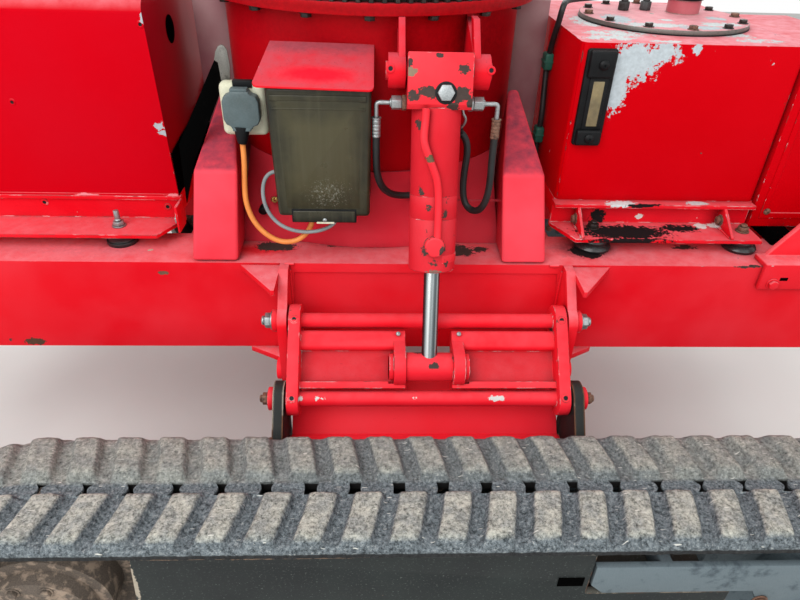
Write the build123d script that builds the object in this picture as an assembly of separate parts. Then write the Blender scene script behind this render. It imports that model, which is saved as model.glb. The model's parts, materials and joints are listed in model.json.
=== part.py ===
from build123d import *
import math
import os

# Tracked undercarriage of a spider lift, in millimetres.
# Origin on the ground under the slewing axis, X along the tracks, Y across them, Z up.
# The near side is -Y. Each near piece is mirrored to the far side.

# Small lengths shared by many pieces
cut_margin = 5
weld_overlap = 10

# Chassis beams and cross members
chassis_half_length = 1080
beam_outer_y = 370
beam_width = 120
beam_bottom = 415
beam_top = 620
beam_wall = 10
recess_depth = 5
recess_bottom = 535
recess_top = 600
recess_half_length = 262
recess_slant = 10
cross_member_width = 110
cross_member_height = 150
cross_member_wall = 8
cross_member_x = (-990, -330, 330, 990)

# Bolted outrigger plates at the beam ends
end_plate_thickness = 20
end_plate_width = 190
end_plate_height = 290
outrigger_bolt_y = 150
outrigger_bolt_z = 250
outrigger_bolt_radius = 9

# Folded brackets over the right ends of the beams
bracket_left = 785
bracket_low = 573
bracket_sheet = 12
bracket_shelf = 36
bracket_wall_start = 802
bracket_wall_slope = 85
bracket_wall_height = 120

# Swing linkage: pivot points of the near side, measured across the machine and up
swing_x = 111
arm_pivot_y = 440
arm_pivot_z = 533
link_reach = 105
link_drop = 106
link_spacing = 120
rod_pin_reach = 75
rod_pin_drop = 53
pin_radius = 15
pin_clearance = 0.05
open_pin_clearance = 0.4
pin_head_radius = 22
pin_head_length = 11
pin_head_gap = 0.5

# Chassis ears that carry the linkage
ear_inner_x = 270
chassis_ear_thickness = 18
ear_radius = 30
ear_gusset_reach = 77
ear_gusset_thickness = 12
ear_gusset_drop = 4
ear_gusset_setback = 8
ear_gusset_tip = 6
ear_shoulder = 25
ear_foot_rise = 18

# Swing arm
arm_outer_x = 266
arm_plate_thickness = 22
arm_plate_radius = 32
web_thickness = 14
web_back = 20
lip_start = 20
lip_end = 58
lip_rise = 14
lip_rounding = 9
ledge_start = 118
ledge_end = 131
clevis_root = 26
clevis_neck = 40
clevis_neck_radius = 14
clevis_plate_thickness = 22
clevis_radius = 34
eye_width = 88
eye_radius = 27
eye_side_gap = 0.5
rod_pin_radius = 14
rod_pin_drift = 6
rod_head_radius = 25
rod_head_length = 8
rod_head_gap = 2

# Lower link
lower_link_thickness = 20
lower_link_radius = 20

# Lift cylinder
cylinder_top_y = 365
cylinder_top_z = 985
head_width = 104
head_depth = 90
head_above = 34
head_below = 66
barrel_radius = 38
barrel_end = 302
gland_radius = 41
gland_length = 14
rod_radius = 14.5
rod_start = 190
head_chamfer = 8
hinge_pin_rim = 4
hinge_boss_radius = 28
hinge_boss_length = 28
hinge_ear_thickness = 12
hinge_side_gap = 3
hinge_ear_tip = 10
hinge_ear_setback = 15
hinge_ear_low = 60
hinge_ear_neck = 20
hinge_ear_wing = 40
port_drop = 50

# Rubber track
track_centre_y = 750
track_width = 230
track_pitch = 72
track_pitches = 53
sprocket_teeth = 17
sprocket_x = -541
belt_thickness = 18
lug_height = 12
lug_base = 50
lug_top = 39
lug_root = 3
lug_inner_y = 17
lug_sweep = 20
slot_length = 28
slot_width = 30
slot_phase = 15
outer_lug_phase = 27
inner_lug_phase = 64

# Track frame and running gear
frame_half_width = 100
frame_plate = 12
frame_left = -392
frame_left_top = -360
frame_right = 600
frame_step_x = 357
frame_top = 387
frame_corner = 40
frame_shelf = 275.7
frame_bottom = 62
frame_deck = 300
deck_left = -350
bulkhead_x = (-330, 100, 545)
frame_slot_length = 34
frame_slot_height = 13
frame_slot_x = 325
frame_slot_z = 315
sprocket_width = 22
tooth_base = 21
tooth_tip = 11
tooth_rise = 15
tooth_root = 6
wheel_clearance = 1.5
gearbox_radius = 105
gearbox_step_radius = 84
gearbox_step = 26
motor_radius = 62
motor_length = 70
motor_flange_radius = 125
roller_radius = 50
roller_x = (-290, -92.5, 105, 302.5, 500)
roller_inner_y = 54
roller_outer_y = 80
roller_core_radius = 30
roller_shaft_radius = 14
roller_gap = 0.3
carrier_x = 105
carrier_radius = 34
idler_half_width = 24
idler_rim = 24
idler_web = 8
idler_lap = 2
idler_hub_radius = 45
idler_hub_half = 42
idler_axle_radius = 20
fork_left = 363
fork_bottom = 276
fork_top = 347
fork_end = 55
fork_tail_low = 170
fork_corner = 22
fork_nose = 35
fork_gap = 2
fork_tail_high = 256
fork_throat = 115
crosshead_x = 470
crosshead_length = 20
track_ear_thickness = 20
track_ear_radius = 34
track_ear_low = 190
track_ear_drop = 6
track_ear_shoulder = 24
belt_side_gap = 8

# Pedestal under the slewing ring
drum_radius = 298
drum_wall = 12
drum_bottom = 640
flange_bottom = 1060
flange_thickness = 20
flange_radius = 330
base_plate_x = 356
base_plate_y = 352
skirt_top = 723
skirt_bend_y = 318
skirt_bend = 662
skirt_thickness = 10
pillar_front_y = 345
pillar_back_y = 120
pillar_top = 795
pillar_back_top = 880
pillar_inner_low = 268
pillar_inner_high = 247
pillar_outer_low = 354
pillar_outer_high = 316
side_plate_gap = 2
side_plate_thickness = 12
side_plate_half_y = 300
side_plate_top = 1000
side_plate_rib = 60
skirt_inset = 4
skirt_lap = 10
port_block_front = 335
port_block_bottom = 722
port_block_top = 895
port_block_half = 20
port_block_root = 40

# Slewing ring
ring_tip_radius = 330
ring_root_radius = 318
ring_teeth = 96
ring_bore_radius = 262
ring_height = 50
ring_tooth_root = 0.62
ring_tooth_tip = 0.32
ring_tooth_lap = 2
ring_clearance = 0.4
inner_ring_bore = 210
inner_ring_lift = 6
inner_ring_height = 56
turret_bolt_pcd = 468
turret_bolt_count = 24
turret_bolt_radius = 7

# Hydraulic tank, its lid, level gauge and frame
tank_left = 380
tank_right = 801
tank_setback = 4
tank_top = 1012
tank_wall = 4
tank_rounding = 14
lid_x = 615
lid_y = -2
lid_radius = 172
lid_height = 10
lid_hole_radius = 136
lid_bolts = 12
lid_bolt_radius = 7
lid_bolt_inset = 14
lid_bolt_height = 6
filler_radius = 34
filler_height = 28
filler_dx = 60
filler_dy = 40
gauge_left = 390
gauge_width = 56
gauge_bottom = 824
gauge_height = 179
gauge_depth = 9
gauge_rounding = 6
support_top = 705
support_bottom = 648
support_front = 250
support_thickness = 8
support_flange = 78
support_chamfer = 36
support_lip = 20
support_end = 5
cross_rail_width = 40
cross_rail_height = 40
mount_radius = 30
mount_waist = 26
mount_plate = 9
mount_y = 288
tank_mount_x = (460, 773)
cover_mount_x = (-505, -900)

# Sheet cover and engine at the left, side box at the right
cover_left = -1040
cover_right = -389
cover_top = 1045
cover_wall = 3
cover_slope = 30
cover_lean = 6
cover_rounding = 26
engine_left = -960
engine_right = -460
engine_half_y = 210
engine_bottom = 660
engine_foot_length = 62
engine_foot_width = 60
engine_foot_thickness = 12
engine_foot_y = 120
engine_top = 960
box_left = 807
box_right = 1040
box_top = 990
box_wall = 3
box_rail_x = (850, 980)
box_rail_bearing = 30

# Guard plate between the left cover and the pedestal
guard_y = 306
guard_thickness = 6
guard_outline = [(-262, 1016), (-238, 1016), (-234, 963), (-260, 963), (-260, 826), (-318, 826), (-324, 790),
                 (-340, 727), (-357, 727), (-357, 760)]

# Control box and hood on the pedestal
control_left = -166
control_right = 0
control_front = 390
control_gap = 2
control_bottom = 745
control_top = 952
control_wall = 3
control_rounding = 8
flap_inset_front = 8
flap_inset_back = 12
flap_inset_left = 20
flap_inset_right = 18
flap_drop = 12
hood_left = -190
hood_right = 12
hood_front_y = 412
hood_front_z = 966
hood_back_y = 225
hood_back_z = 1038
hood_gap = 0.3
hood_thickness = 3
hood_lip = 16

# Socket, plug and the two cables
socket_left = -256
socket_right = -196
socket_bottom = 866
socket_top = 950
socket_front = 334
socket_depth = 30
socket_rounding = 6
socket_plate = 4
socket_plate_rim = 10
plug_x = -227
plug_z = 910
plug_radius = 27
plug_length = 26
nose_radius = 9
nose_length = 24
orange_diameter = 10
grey_diameter = 7

# Hydraulic hoses
hose_diameter = 13
nut_radius = 11
nut_length = 16
elbow_radius = 6.5
elbow_reach = 50
elbow_drop = 22
ferrule_radius = 8.5
ferrule_length = 36
hose_port_y = -322
hose_end_gap = 0.3
bend_share = 0.45

# Values worked out from the sizes above
pitch_radius = sprocket_teeth * track_pitch / (2 * math.pi)
wheelbase = (track_pitches - sprocket_teeth) * track_pitch / 2
idler_x = sprocket_x + wheelbase
belt_inner = pitch_radius - belt_thickness / 2
belt_outer = pitch_radius + belt_thickness / 2
axle_z = belt_outer + lug_height
pivot_a = (-arm_pivot_y, arm_pivot_z)
pivot_b = (-arm_pivot_y - link_reach, arm_pivot_z - link_drop)
pivot_c = (pivot_a[0], pivot_a[1] - link_spacing)
pivot_d = (pivot_b[0], pivot_b[1] - link_spacing)
pivot_p = (pivot_a[0] - rod_pin_reach, pivot_a[1] - rod_pin_drop)
pivot_h = (-cylinder_top_y, cylinder_top_z)
link_length = math.hypot(link_reach, link_drop)
along = (-link_reach / link_length, -link_drop / link_length)
outward = (-link_drop / link_length, link_reach / link_length)
cylinder_length = math.dist(pivot_h, pivot_p)
axis_y = (pivot_p[0] - pivot_h[0]) / cylinder_length
axis_z = (pivot_p[1] - pivot_h[1]) / cylinder_length
beam_inner_y = beam_outer_y - beam_width
flange_top = flange_bottom + flange_thickness
ear_outer_x = ear_inner_x + chassis_ear_thickness
side_plate_x = drum_radius + side_plate_gap
control_back = drum_radius + control_gap
tank_half_y = support_front - tank_setback
box_half_y = tank_half_y
cover_half_y = support_front
box_bottom = support_bottom
track_ear_outer_x = ear_inner_x + track_ear_thickness


# Shape helpers
def plate_x(points, x0, x1):
    return extrude(Plane.YZ.offset(x0) * Polygon(*points, align=None), x1 - x0, dir=(1, 0, 0))


def plate_y(points, y0, y1):
    return extrude(Plane.XZ.offset(-y0) * Polygon(*points, align=None), y1 - y0, dir=(0, 1, 0))


def plate_z(points, z0, z1):
    return extrude(Plane.XY.offset(z0) * Polygon(*points, align=None), z1 - z0, dir=(0, 0, 1))


def block(x0, x1, y0, y1, z0, z1):
    return Pos((x0 + x1) / 2, (y0 + y1) / 2, (z0 + z1) / 2) * Box(x1 - x0, y1 - y0, z1 - z0)


def bar_x(radius, x0, x1, y, z):
    return extrude(Plane(origin=(x0, y, z), x_dir=(0, 1, 0), z_dir=(1, 0, 0)) * Circle(radius), x1 - x0)


def bar_y(radius, y0, y1, x, z):
    return extrude(Plane(origin=(x, y0, z), x_dir=(1, 0, 0), z_dir=(0, 1, 0)) * Circle(radius), y1 - y0)


def bar_z(radius, z0, z1, x, y):
    return Pos(x, y, z0) * extrude(Circle(radius), z1 - z0)


def bar_between(radius, start, end):
    length = math.dist(start, end)
    direction = Vector(*end) - Vector(*start)
    return extrude(Plane(origin=start, z_dir=direction) * Circle(radius), length)


def hull_x(circles, x0, x1):
    outline = Sketch()
    for y, z, radius in circles:
        outline += Pos(y, z) * Circle(radius)
    return extrude(Plane.YZ.offset(x0) * make_hull(outline.edges()), x1 - x0, dir=(1, 0, 0))


def both_ends(maker, x0, x1):
    right = maker(swing_x + x0, swing_x + x1)
    left = maker(swing_x - x1, swing_x - x0)
    return right, left


def arm_point(distance, rise):
    y = pivot_a[0] + along[0] * distance + outward[0] * rise
    z = pivot_a[1] + along[1] * distance + outward[1] * rise
    return y, z


def far_side(part):
    return mirror(part, Plane.XZ)


def save(name, *parts):
    shape = parts[0] if len(parts) == 1 else Compound(children=list(parts))
    export_step(shape, "parts/" + name + ".step")


def save_both(name, *parts):
    save(name + "_near", *parts)
    save(name + "_far", *[far_side(part) for part in parts])


os.makedirs("parts", exist_ok=True)

# Chassis beams: closed box sections with bolted plates at the ends
end_inner_x = chassis_half_length - end_plate_thickness
beam_y = -beam_outer_y + beam_width / 2
beam_z = (beam_bottom + beam_top) / 2
beam = block(-end_inner_x, end_inner_x, -beam_outer_y, -beam_inner_y, beam_bottom, beam_top)
beam -= block(-end_inner_x, end_inner_x, -beam_outer_y + beam_wall, -beam_inner_y - beam_wall,
              beam_bottom + beam_wall, beam_top - beam_wall)
recess = [(swing_x - recess_half_length - recess_slant, recess_bottom),
          (swing_x + recess_half_length + recess_slant, recess_bottom),
          (swing_x + recess_half_length, recess_top), (swing_x - recess_half_length, recess_top)]
beam -= plate_y(recess, -beam_outer_y - recess_depth, -beam_outer_y + recess_depth)
for side in (-1, 1):
    end_plate = Pos(side * (end_inner_x + end_plate_thickness / 2), beam_y, beam_z) * Box(
        end_plate_thickness, end_plate_width, end_plate_height)
    for dy in (-outrigger_bolt_y / 2, outrigger_bolt_y / 2):
        for dz in (-outrigger_bolt_z / 2, outrigger_bolt_z / 2):
            end_plate -= bar_x(outrigger_bolt_radius, side * chassis_half_length - end_plate_thickness * 2,
                               side * chassis_half_length + end_plate_thickness * 2, beam_y + dy, beam_z + dz)
    beam += end_plate
save("chassis_beams", beam, far_side(beam))

# Folded brackets on the right ends of the beams, each with a sloping wall
bracket_face = -beam_outer_y - bracket_sheet
bracket_top = beam_top + bracket_sheet
shelf_back = -beam_outer_y + bracket_shelf
bracket = block(bracket_left, end_inner_x, bracket_face, -beam_outer_y, bracket_low, bracket_top)
bracket += block(bracket_left, end_inner_x, -beam_outer_y, shelf_back, beam_top, bracket_top)
bracket += plate_y([(bracket_wall_start, bracket_top), (end_inner_x, bracket_top),
                    (end_inner_x, bracket_top + bracket_wall_height),
                    (bracket_wall_start + bracket_wall_slope, bracket_top + bracket_wall_height)],
                   shelf_back - bracket_sheet, shelf_back)
save("end_brackets", bracket, far_side(bracket))

# Cross members between the beams
member_top = beam_top - beam_wall
member_bottom = member_top - cross_member_height
members = []
for x in cross_member_x:
    half = cross_member_width / 2
    inner = half - cross_member_wall
    member = block(x - half, x + half, -beam_inner_y, beam_inner_y, member_bottom, member_top)
    member -= block(x - inner, x + inner, -beam_inner_y, beam_inner_y,
                    member_bottom + cross_member_wall, member_top - cross_member_wall)
    members.append(member)
save("cross_members", *members)

# Pivot ears welded to the beam face, with flat gussets above and below
ear_front = pivot_a[0] - ear_radius
ear_low = pivot_c[1] - ear_radius


def pivot_ear(x0, x1):
    ear = hull_x([(*pivot_a, ear_radius), (*pivot_c, ear_radius)], x0, x1)
    ear += plate_x([(-beam_outer_y, beam_top), (-beam_outer_y - ear_shoulder, beam_top), (ear_front, pivot_a[1]),
                    (ear_front, pivot_c[1]), (pivot_c[0], ear_low), (-beam_outer_y, ear_low + ear_foot_rise)],
                   x0, x1)
    away = 1 if x0 > swing_x else -1
    face = x1 if away > 0 else x0
    for z, front in ((beam_top - ear_gusset_thickness - ear_gusset_drop, ear_front + ear_gusset_setback),
                     (beam_bottom - ear_gusset_thickness, pivot_c[0] + pin_head_radius + ear_gusset_setback)):
        ear += plate_z([(face, -beam_outer_y), (face + away * ear_gusset_reach, -beam_outer_y),
                        (face + away * ear_gusset_tip, front), (face, front)], z, z + ear_gusset_thickness)
    for pivot in (pivot_a, pivot_c):
        ear -= bar_x(pin_radius + pin_clearance, x0 - cut_margin, x1 + cut_margin, *pivot)
    return ear


near_ears = both_ends(pivot_ear, ear_inner_x, ear_outer_x)
save("pivot_ears", *near_ears, *[far_side(ear) for ear in near_ears])

# Swing arm: two side plates on long pins, a set-back web with a rounded lip and a ledge,
# and two clevis plates for the rod's eye
web_half = arm_outer_x - arm_plate_thickness
arm = bar_x(pin_radius, swing_x - ear_outer_x - pin_head_gap - pin_head_length,
            swing_x + ear_outer_x + pin_head_gap + pin_head_length, *pivot_a)
arm += bar_x(pin_radius, swing_x - track_ear_outer_x - pin_head_gap - pin_head_length,
             swing_x + track_ear_outer_x + pin_head_gap + pin_head_length, *pivot_b)
for pivot, outer in ((pivot_a, ear_outer_x), (pivot_b, track_ear_outer_x)):
    for x in (swing_x + outer + pin_head_gap, swing_x - outer - pin_head_gap - pin_head_length):
        arm += bar_x(pin_head_radius, x, x + pin_head_length, *pivot)


def side_plate(x0, x1):
    return hull_x([(*pivot_a, arm_plate_radius), (*pivot_b, arm_plate_radius)], x0, x1)


def arm_bar(start, end, low, high, x0, x1):
    corners = [arm_point(start, low), arm_point(end, low), arm_point(end, high), arm_point(start, high)]
    return plate_x(corners, x0, x1)


for plate in both_ends(side_plate, web_half, arm_outer_x):
    arm += plate
web = arm_bar(lip_start, ledge_end, -web_back, -web_back + web_thickness, swing_x - web_half, swing_x + web_half)
lip = arm_bar(lip_start, lip_end, -web_back, lip_rise, swing_x - web_half, swing_x + web_half)
lip_edges = lip.edges().filter_by(Axis.X).sort_by(lambda e: -outward[0] * e.center().Y - outward[1] * e.center().Z)
lip = fillet(lip_edges[:2], lip_rounding)
ledge = arm_bar(ledge_start, ledge_end, -web_back, lip_rise, swing_x - web_half, swing_x + web_half)
clevis_half = eye_width / 2 + eye_side_gap
clevis_outer = clevis_half + clevis_plate_thickness
head_sweep = rod_head_radius + rod_pin_drift + rod_head_gap / 2
inner = web + lip + ledge
inner -= arm_bar(lip_start - cut_margin, ledge_end + cut_margin, -web_back - cut_margin, lip_rise + cut_margin,
                 swing_x - clevis_half, swing_x + clevis_half)
inner -= bar_x(head_sweep, swing_x - clevis_outer - rod_head_length - rod_head_gap,
               swing_x + clevis_outer + rod_head_length + rod_head_gap, *pivot_p)
arm += inner


def clevis_plate(x0, x1):
    plate = arm_bar(clevis_root, ledge_end, -web_back, 0, x0, x1)
    plate += hull_x([(*pivot_p, clevis_radius), (*arm_point(clevis_neck, clevis_neck_radius - web_back),
                                                 clevis_neck_radius)], x0, x1)
    return plate - bar_x(rod_pin_radius + rod_pin_drift, x0 - cut_margin, x1 + cut_margin, *pivot_p)


for plate in both_ends(clevis_plate, clevis_half, clevis_outer):
    arm += plate
save_both("swing_arm", arm)

# Lower link: a flat plate between two pins
link = bar_x(lower_link_radius, swing_x - arm_outer_x, swing_x + arm_outer_x, *pivot_c)
link += bar_x(lower_link_radius, swing_x - arm_outer_x, swing_x + arm_outer_x, *pivot_d)
half_link = lower_link_thickness / 2
link += plate_x([(pivot_c[0] - outward[0] * half_link, pivot_c[1] - outward[1] * half_link),
                 (pivot_d[0] - outward[0] * half_link, pivot_d[1] - outward[1] * half_link),
                 (pivot_d[0] + outward[0] * half_link, pivot_d[1] + outward[1] * half_link),
                 (pivot_c[0] + outward[0] * half_link, pivot_c[1] + outward[1] * half_link)],
                swing_x - arm_outer_x, swing_x + arm_outer_x)
link += bar_x(pin_radius, swing_x - ear_outer_x - pin_head_gap - pin_head_length,
              swing_x + ear_outer_x + pin_head_gap + pin_head_length, *pivot_c)
link += bar_x(pin_radius, swing_x - track_ear_outer_x - pin_head_gap - pin_head_length,
              swing_x + track_ear_outer_x + pin_head_gap + pin_head_length, *pivot_d)
for pivot, outer in ((pivot_c, ear_outer_x), (pivot_d, track_ear_outer_x)):
    for x in (swing_x + outer + pin_head_gap, swing_x - outer - pin_head_gap - pin_head_length):
        link += bar_x(pin_head_radius, x, x + pin_head_length, *pivot)
save_both("lower_link", link)

# Lift cylinder: head block on its hinge pin, barrel and gland
def on_axis(distance, side=0.0):
    return (pivot_h[0] + axis_y * distance - axis_z * side, pivot_h[1] + axis_z * distance + axis_y * side)


half_depth = head_depth / 2
head_left = swing_x - head_width / 2
head_right = swing_x + head_width / 2
barrel = plate_x([on_axis(-head_above, -half_depth), on_axis(-head_above, half_depth),
                  on_axis(head_below, half_depth), on_axis(head_below, -half_depth)], head_left, head_right)
barrel = chamfer(barrel.edges().filter_by(Axis.X), head_chamfer)
barrel += bar_between(barrel_radius, (swing_x, *on_axis(head_below - weld_overlap)), (swing_x, *on_axis(barrel_end)))
barrel += bar_between(gland_radius, (swing_x, *on_axis(barrel_end)),
                      (swing_x, *on_axis(barrel_end + gland_length)))
barrel -= bar_between(rod_radius + pin_clearance, (swing_x, *on_axis(head_below + weld_overlap)),
                      (swing_x, *on_axis(barrel_end + gland_length + cut_margin)))
hinge_inner = head_width / 2 + hinge_side_gap
hinge_outer = hinge_inner + hinge_boss_length
barrel += bar_x(pin_radius, swing_x - hinge_outer - hinge_pin_rim, swing_x + hinge_outer + hinge_pin_rim, *pivot_h)
save_both("cylinder_barrel", barrel)

# Piston rod with its eye and the eye's pin
rod = bar_between(rod_radius, (swing_x, *on_axis(rod_start)), (swing_x, *pivot_p))
rod += bar_x(eye_radius, swing_x - eye_width / 2, swing_x + eye_width / 2, *pivot_p)
rod += bar_x(rod_pin_radius, swing_x - clevis_outer - pin_head_gap - rod_head_length,
             swing_x + clevis_outer + pin_head_gap + rod_head_length, *pivot_p)
for x in (swing_x + clevis_outer + pin_head_gap, swing_x - clevis_outer - pin_head_gap - rod_head_length):
    rod += bar_x(rod_head_radius, x, x + rod_head_length, *pivot_p)
save_both("cylinder_rod", rod)


# Rubber track: a belt round both wheels with swept lugs and a row of drive slots
def belt_plane(distance):
    total = track_pitches * track_pitch
    half_turn = math.pi * pitch_radius
    s = distance % total
    if s < wheelbase:
        x, turn = sprocket_x + s, 0.0
        radius_x, radius_z = 0.0, pitch_radius
    elif s < wheelbase + half_turn:
        turn = (s - wheelbase) / pitch_radius
        x = idler_x
        radius_x, radius_z = pitch_radius * math.sin(turn), pitch_radius * math.cos(turn)
    elif s < 2 * wheelbase + half_turn:
        x, turn = idler_x - (s - wheelbase - half_turn), math.pi
        radius_x, radius_z = 0.0, -pitch_radius
    else:
        turn = math.pi + (s - 2 * wheelbase - half_turn) / pitch_radius
        x = sprocket_x
        radius_x, radius_z = pitch_radius * math.sin(turn), pitch_radius * math.cos(turn)
    origin = (x + radius_x, -track_centre_y, axle_z + radius_z)
    return Plane(origin=origin, x_dir=(math.cos(turn), 0, -math.sin(turn)), z_dir=(0, -1, 0))


def loop(radius, width):
    outline = SlotCenterToCenter(wheelbase, 2 * radius)
    middle = (sprocket_x + idler_x) / 2
    return extrude(Plane(origin=(middle, -track_centre_y + width / 2, axle_z), x_dir=(1, 0, 0),
                         z_dir=(0, -1, 0)) * outline, width)


belt = loop(belt_outer, track_width) - loop(belt_inner, track_width)
lug_length = track_width / 2 - lug_inner_y
lug_profile = [(-lug_base / 2, belt_thickness / 2 - lug_root), (lug_base / 2, belt_thickness / 2 - lug_root),
               (lug_top / 2, belt_thickness / 2 + lug_height), (-lug_top / 2, belt_thickness / 2 + lug_height)]
lugs = []
slots = []
for index in range(track_pitches):
    for side, phase in ((1, outer_lug_phase), (-1, inner_lug_phase)):
        plane = belt_plane(phase + index * track_pitch)
        root = plane.from_local_coords((lug_sweep / 2, 0, side * lug_inner_y))
        face = Plane(origin=root, x_dir=plane.x_dir, z_dir=plane.z_dir) * Polygon(*lug_profile, align=None)
        direction = plane.z_dir * (side * lug_length) - plane.x_dir * lug_sweep
        lugs.append(extrude(face, direction.length, dir=direction.normalized()))
    slots.append(belt_plane(slot_phase + index * track_pitch) * Box(slot_length, belt_thickness * 3, slot_width))
belt = belt + lugs
belt = belt - slots
belt -= block(sprocket_x - axle_z, idler_x + axle_z, -track_centre_y - track_width, -track_centre_y + track_width,
              -lug_height, 0)
save_both("track", belt)

# Drive sprocket on its gearbox, with the motor on the inner side
wheel_root = belt_inner - wheel_clearance
sprocket = Sketch() + Circle(wheel_root)
for index in range(sprocket_teeth):
    angle = (slot_phase - index * track_pitch) / pitch_radius
    tooth = Polygon((-tooth_base / 2, wheel_root - tooth_root), (tooth_base / 2, wheel_root - tooth_root),
                    (tooth_tip / 2, wheel_root + tooth_rise), (-tooth_tip / 2, wheel_root + tooth_rise), align=None)
    sprocket += Rot(0, 0, -math.degrees(angle)) * tooth
wheel_plane = Plane(origin=(sprocket_x, -track_centre_y + sprocket_width / 2, axle_z), x_dir=(1, 0, 0),
                    z_dir=(0, -1, 0))
gear_inner_y = -track_centre_y + frame_half_width - frame_plate
gear_outer_y = -track_centre_y - frame_half_width + frame_plate
drive = extrude(wheel_plane * sprocket, sprocket_width)
drive += bar_y(gearbox_radius, gear_outer_y + gearbox_step, gear_inner_y, sprocket_x, axle_z)
drive += bar_y(gearbox_step_radius, gear_outer_y, gear_outer_y + gearbox_step, sprocket_x, axle_z)
drive += bar_y(motor_radius, gear_inner_y, gear_inner_y + motor_length, sprocket_x, axle_z)
save_both("drive_sprocket", drive)

# Track frame: outer and inner plates, a deck and three bulkheads
outer_y = -track_centre_y - frame_half_width
inner_y = -track_centre_y + frame_half_width
frame_low_right = frame_right - frame_corner
outer_plate = plate_y([(frame_left, frame_bottom), (frame_low_right, frame_bottom),
                       (frame_right, frame_bottom + frame_corner),
                       (frame_right, frame_shelf), (frame_step_x, frame_shelf), (frame_step_x, frame_top),
                       (frame_left_top, frame_top)], outer_y, outer_y + frame_plate)
outer_plate -= Pos(frame_slot_x, outer_y + frame_plate / 2, frame_slot_z) * Rot(90, 0, 0) * extrude(
    SlotOverall(frame_slot_length, frame_slot_height), frame_plate * 2, both=True)
inner_plate = plate_y([(frame_left, frame_bottom), (frame_low_right, frame_bottom),
                       (frame_right, frame_bottom + frame_corner),
                       (frame_right, frame_shelf), (frame_step_x, frame_shelf), (frame_step_x, frame_top),
                       (frame_left_top, frame_top), (sprocket_x, axle_z + motor_flange_radius),
                       (sprocket_x, axle_z - motor_flange_radius)], inner_y - frame_plate, inner_y)
inner_plate += bar_y(motor_flange_radius, inner_y - frame_plate, inner_y, sprocket_x, axle_z)
inner_plate -= bar_y(motor_radius + open_pin_clearance, inner_y - frame_plate * 2, inner_y + frame_plate,
                     sprocket_x, axle_z)
track_frame = outer_plate + inner_plate
track_frame += block(deck_left, frame_low_right, outer_y + frame_plate, inner_y - frame_plate,
                     frame_deck - frame_plate, frame_deck)
for x in bulkhead_x:
    track_frame += block(x, x + frame_plate, outer_y + frame_plate, inner_y - frame_plate,
                         axle_z - roller_radius, frame_deck - frame_plate)
save_both("track_frame", track_frame)

# Pivot ears on the track frame
belt_side_y = -track_centre_y + track_width / 2


def track_ear(x0, x1):
    ear = hull_x([(*pivot_b, track_ear_radius), (*pivot_d, track_ear_radius)], x0, x1)
    ear_top = frame_top - track_ear_drop
    ear += plate_x([(inner_y, track_ear_low), (inner_y, ear_top), (belt_side_y + belt_side_gap, ear_top),
                    (pivot_b[0] - track_ear_shoulder, pivot_b[1] + track_ear_shoulder), pivot_b, pivot_d,
                    (pivot_d[0] - belt_side_gap, pivot_d[1] - track_ear_radius)], x0, x1)
    ear -= bar_x(pin_radius + pin_clearance, x0 - cut_margin, x1 + cut_margin, *pivot_b)
    ear -= bar_x(pin_radius + open_pin_clearance, x0 - cut_margin, x1 + cut_margin, *pivot_d)
    return ear


save_both("track_ears", *both_ends(track_ear, ear_inner_x, track_ear_outer_x))

# Rollers: five below, one carrier above, on shafts between the frame plates
shaft_half = frame_half_width - frame_plate
belt_floor = axle_z - belt_inner
belt_roof = axle_z + belt_inner
rollers = []
for x in roller_x:
    z = belt_floor + roller_radius + roller_gap
    roller = bar_y(roller_shaft_radius, -track_centre_y - shaft_half, -track_centre_y + shaft_half, x, z)
    roller += bar_y(roller_core_radius, -track_centre_y - roller_outer_y, -track_centre_y + roller_outer_y, x, z)
    for side in (-1, 1):
        edges = sorted((side * roller_inner_y, side * roller_outer_y))
        roller += bar_y(roller_radius, -track_centre_y + edges[0], -track_centre_y + edges[1], x, z)
    rollers.append(roller)
z = belt_roof - carrier_radius - roller_gap
carrier = bar_y(roller_shaft_radius, -track_centre_y - shaft_half, -track_centre_y + shaft_half, carrier_x, z)
for side in (-1, 1):
    edges = sorted((side * roller_inner_y, side * roller_outer_y))
    carrier += bar_y(carrier_radius, -track_centre_y + edges[0], -track_centre_y + edges[1], carrier_x, z)
rollers.append(carrier)
save_both("rollers", *rollers)

# Idler wheel in its tensioning fork
idler = Sketch() + Polygon((0, 0), (idler_hub_radius, 0), (idler_hub_radius, idler_hub_half),
                           (0, idler_hub_half), align=None)
idler += Polygon((idler_hub_radius - idler_lap, 0), (wheel_root, 0), (wheel_root, idler_half_width),
                 (wheel_root - idler_rim, idler_half_width), (wheel_root - 1.5 * idler_rim, idler_web),
                 (idler_hub_radius - idler_lap, idler_web), align=None)
half_wheel = revolve(Plane.XZ * idler, Axis.Z)
wheel = half_wheel + mirror(half_wheel, Plane.XY)
wheel = Pos(idler_x, -track_centre_y, axle_z) * Rot(90, 0, 0) * wheel
wheel += bar_y(idler_axle_radius, outer_y + frame_plate, inner_y - frame_plate, idler_x, axle_z)
fork_outline = [(fork_left, fork_bottom + fork_corner), (fork_left, fork_top), (idler_x - fork_nose, fork_top),
                (idler_x + fork_end, fork_tail_high), (idler_x + fork_end, fork_tail_low),
                (idler_x - fork_end, fork_tail_low), (idler_x - fork_throat, fork_bottom),
                (fork_left + fork_corner, fork_bottom)]
wheel += plate_y(fork_outline, outer_y, outer_y + frame_plate)
wheel += plate_y(fork_outline, inner_y - frame_plate, inner_y)
wheel += block(crosshead_x, crosshead_x + crosshead_length, outer_y + frame_plate, inner_y - frame_plate,
               frame_deck + fork_gap, fork_top)
save_both("idler", wheel)

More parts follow.
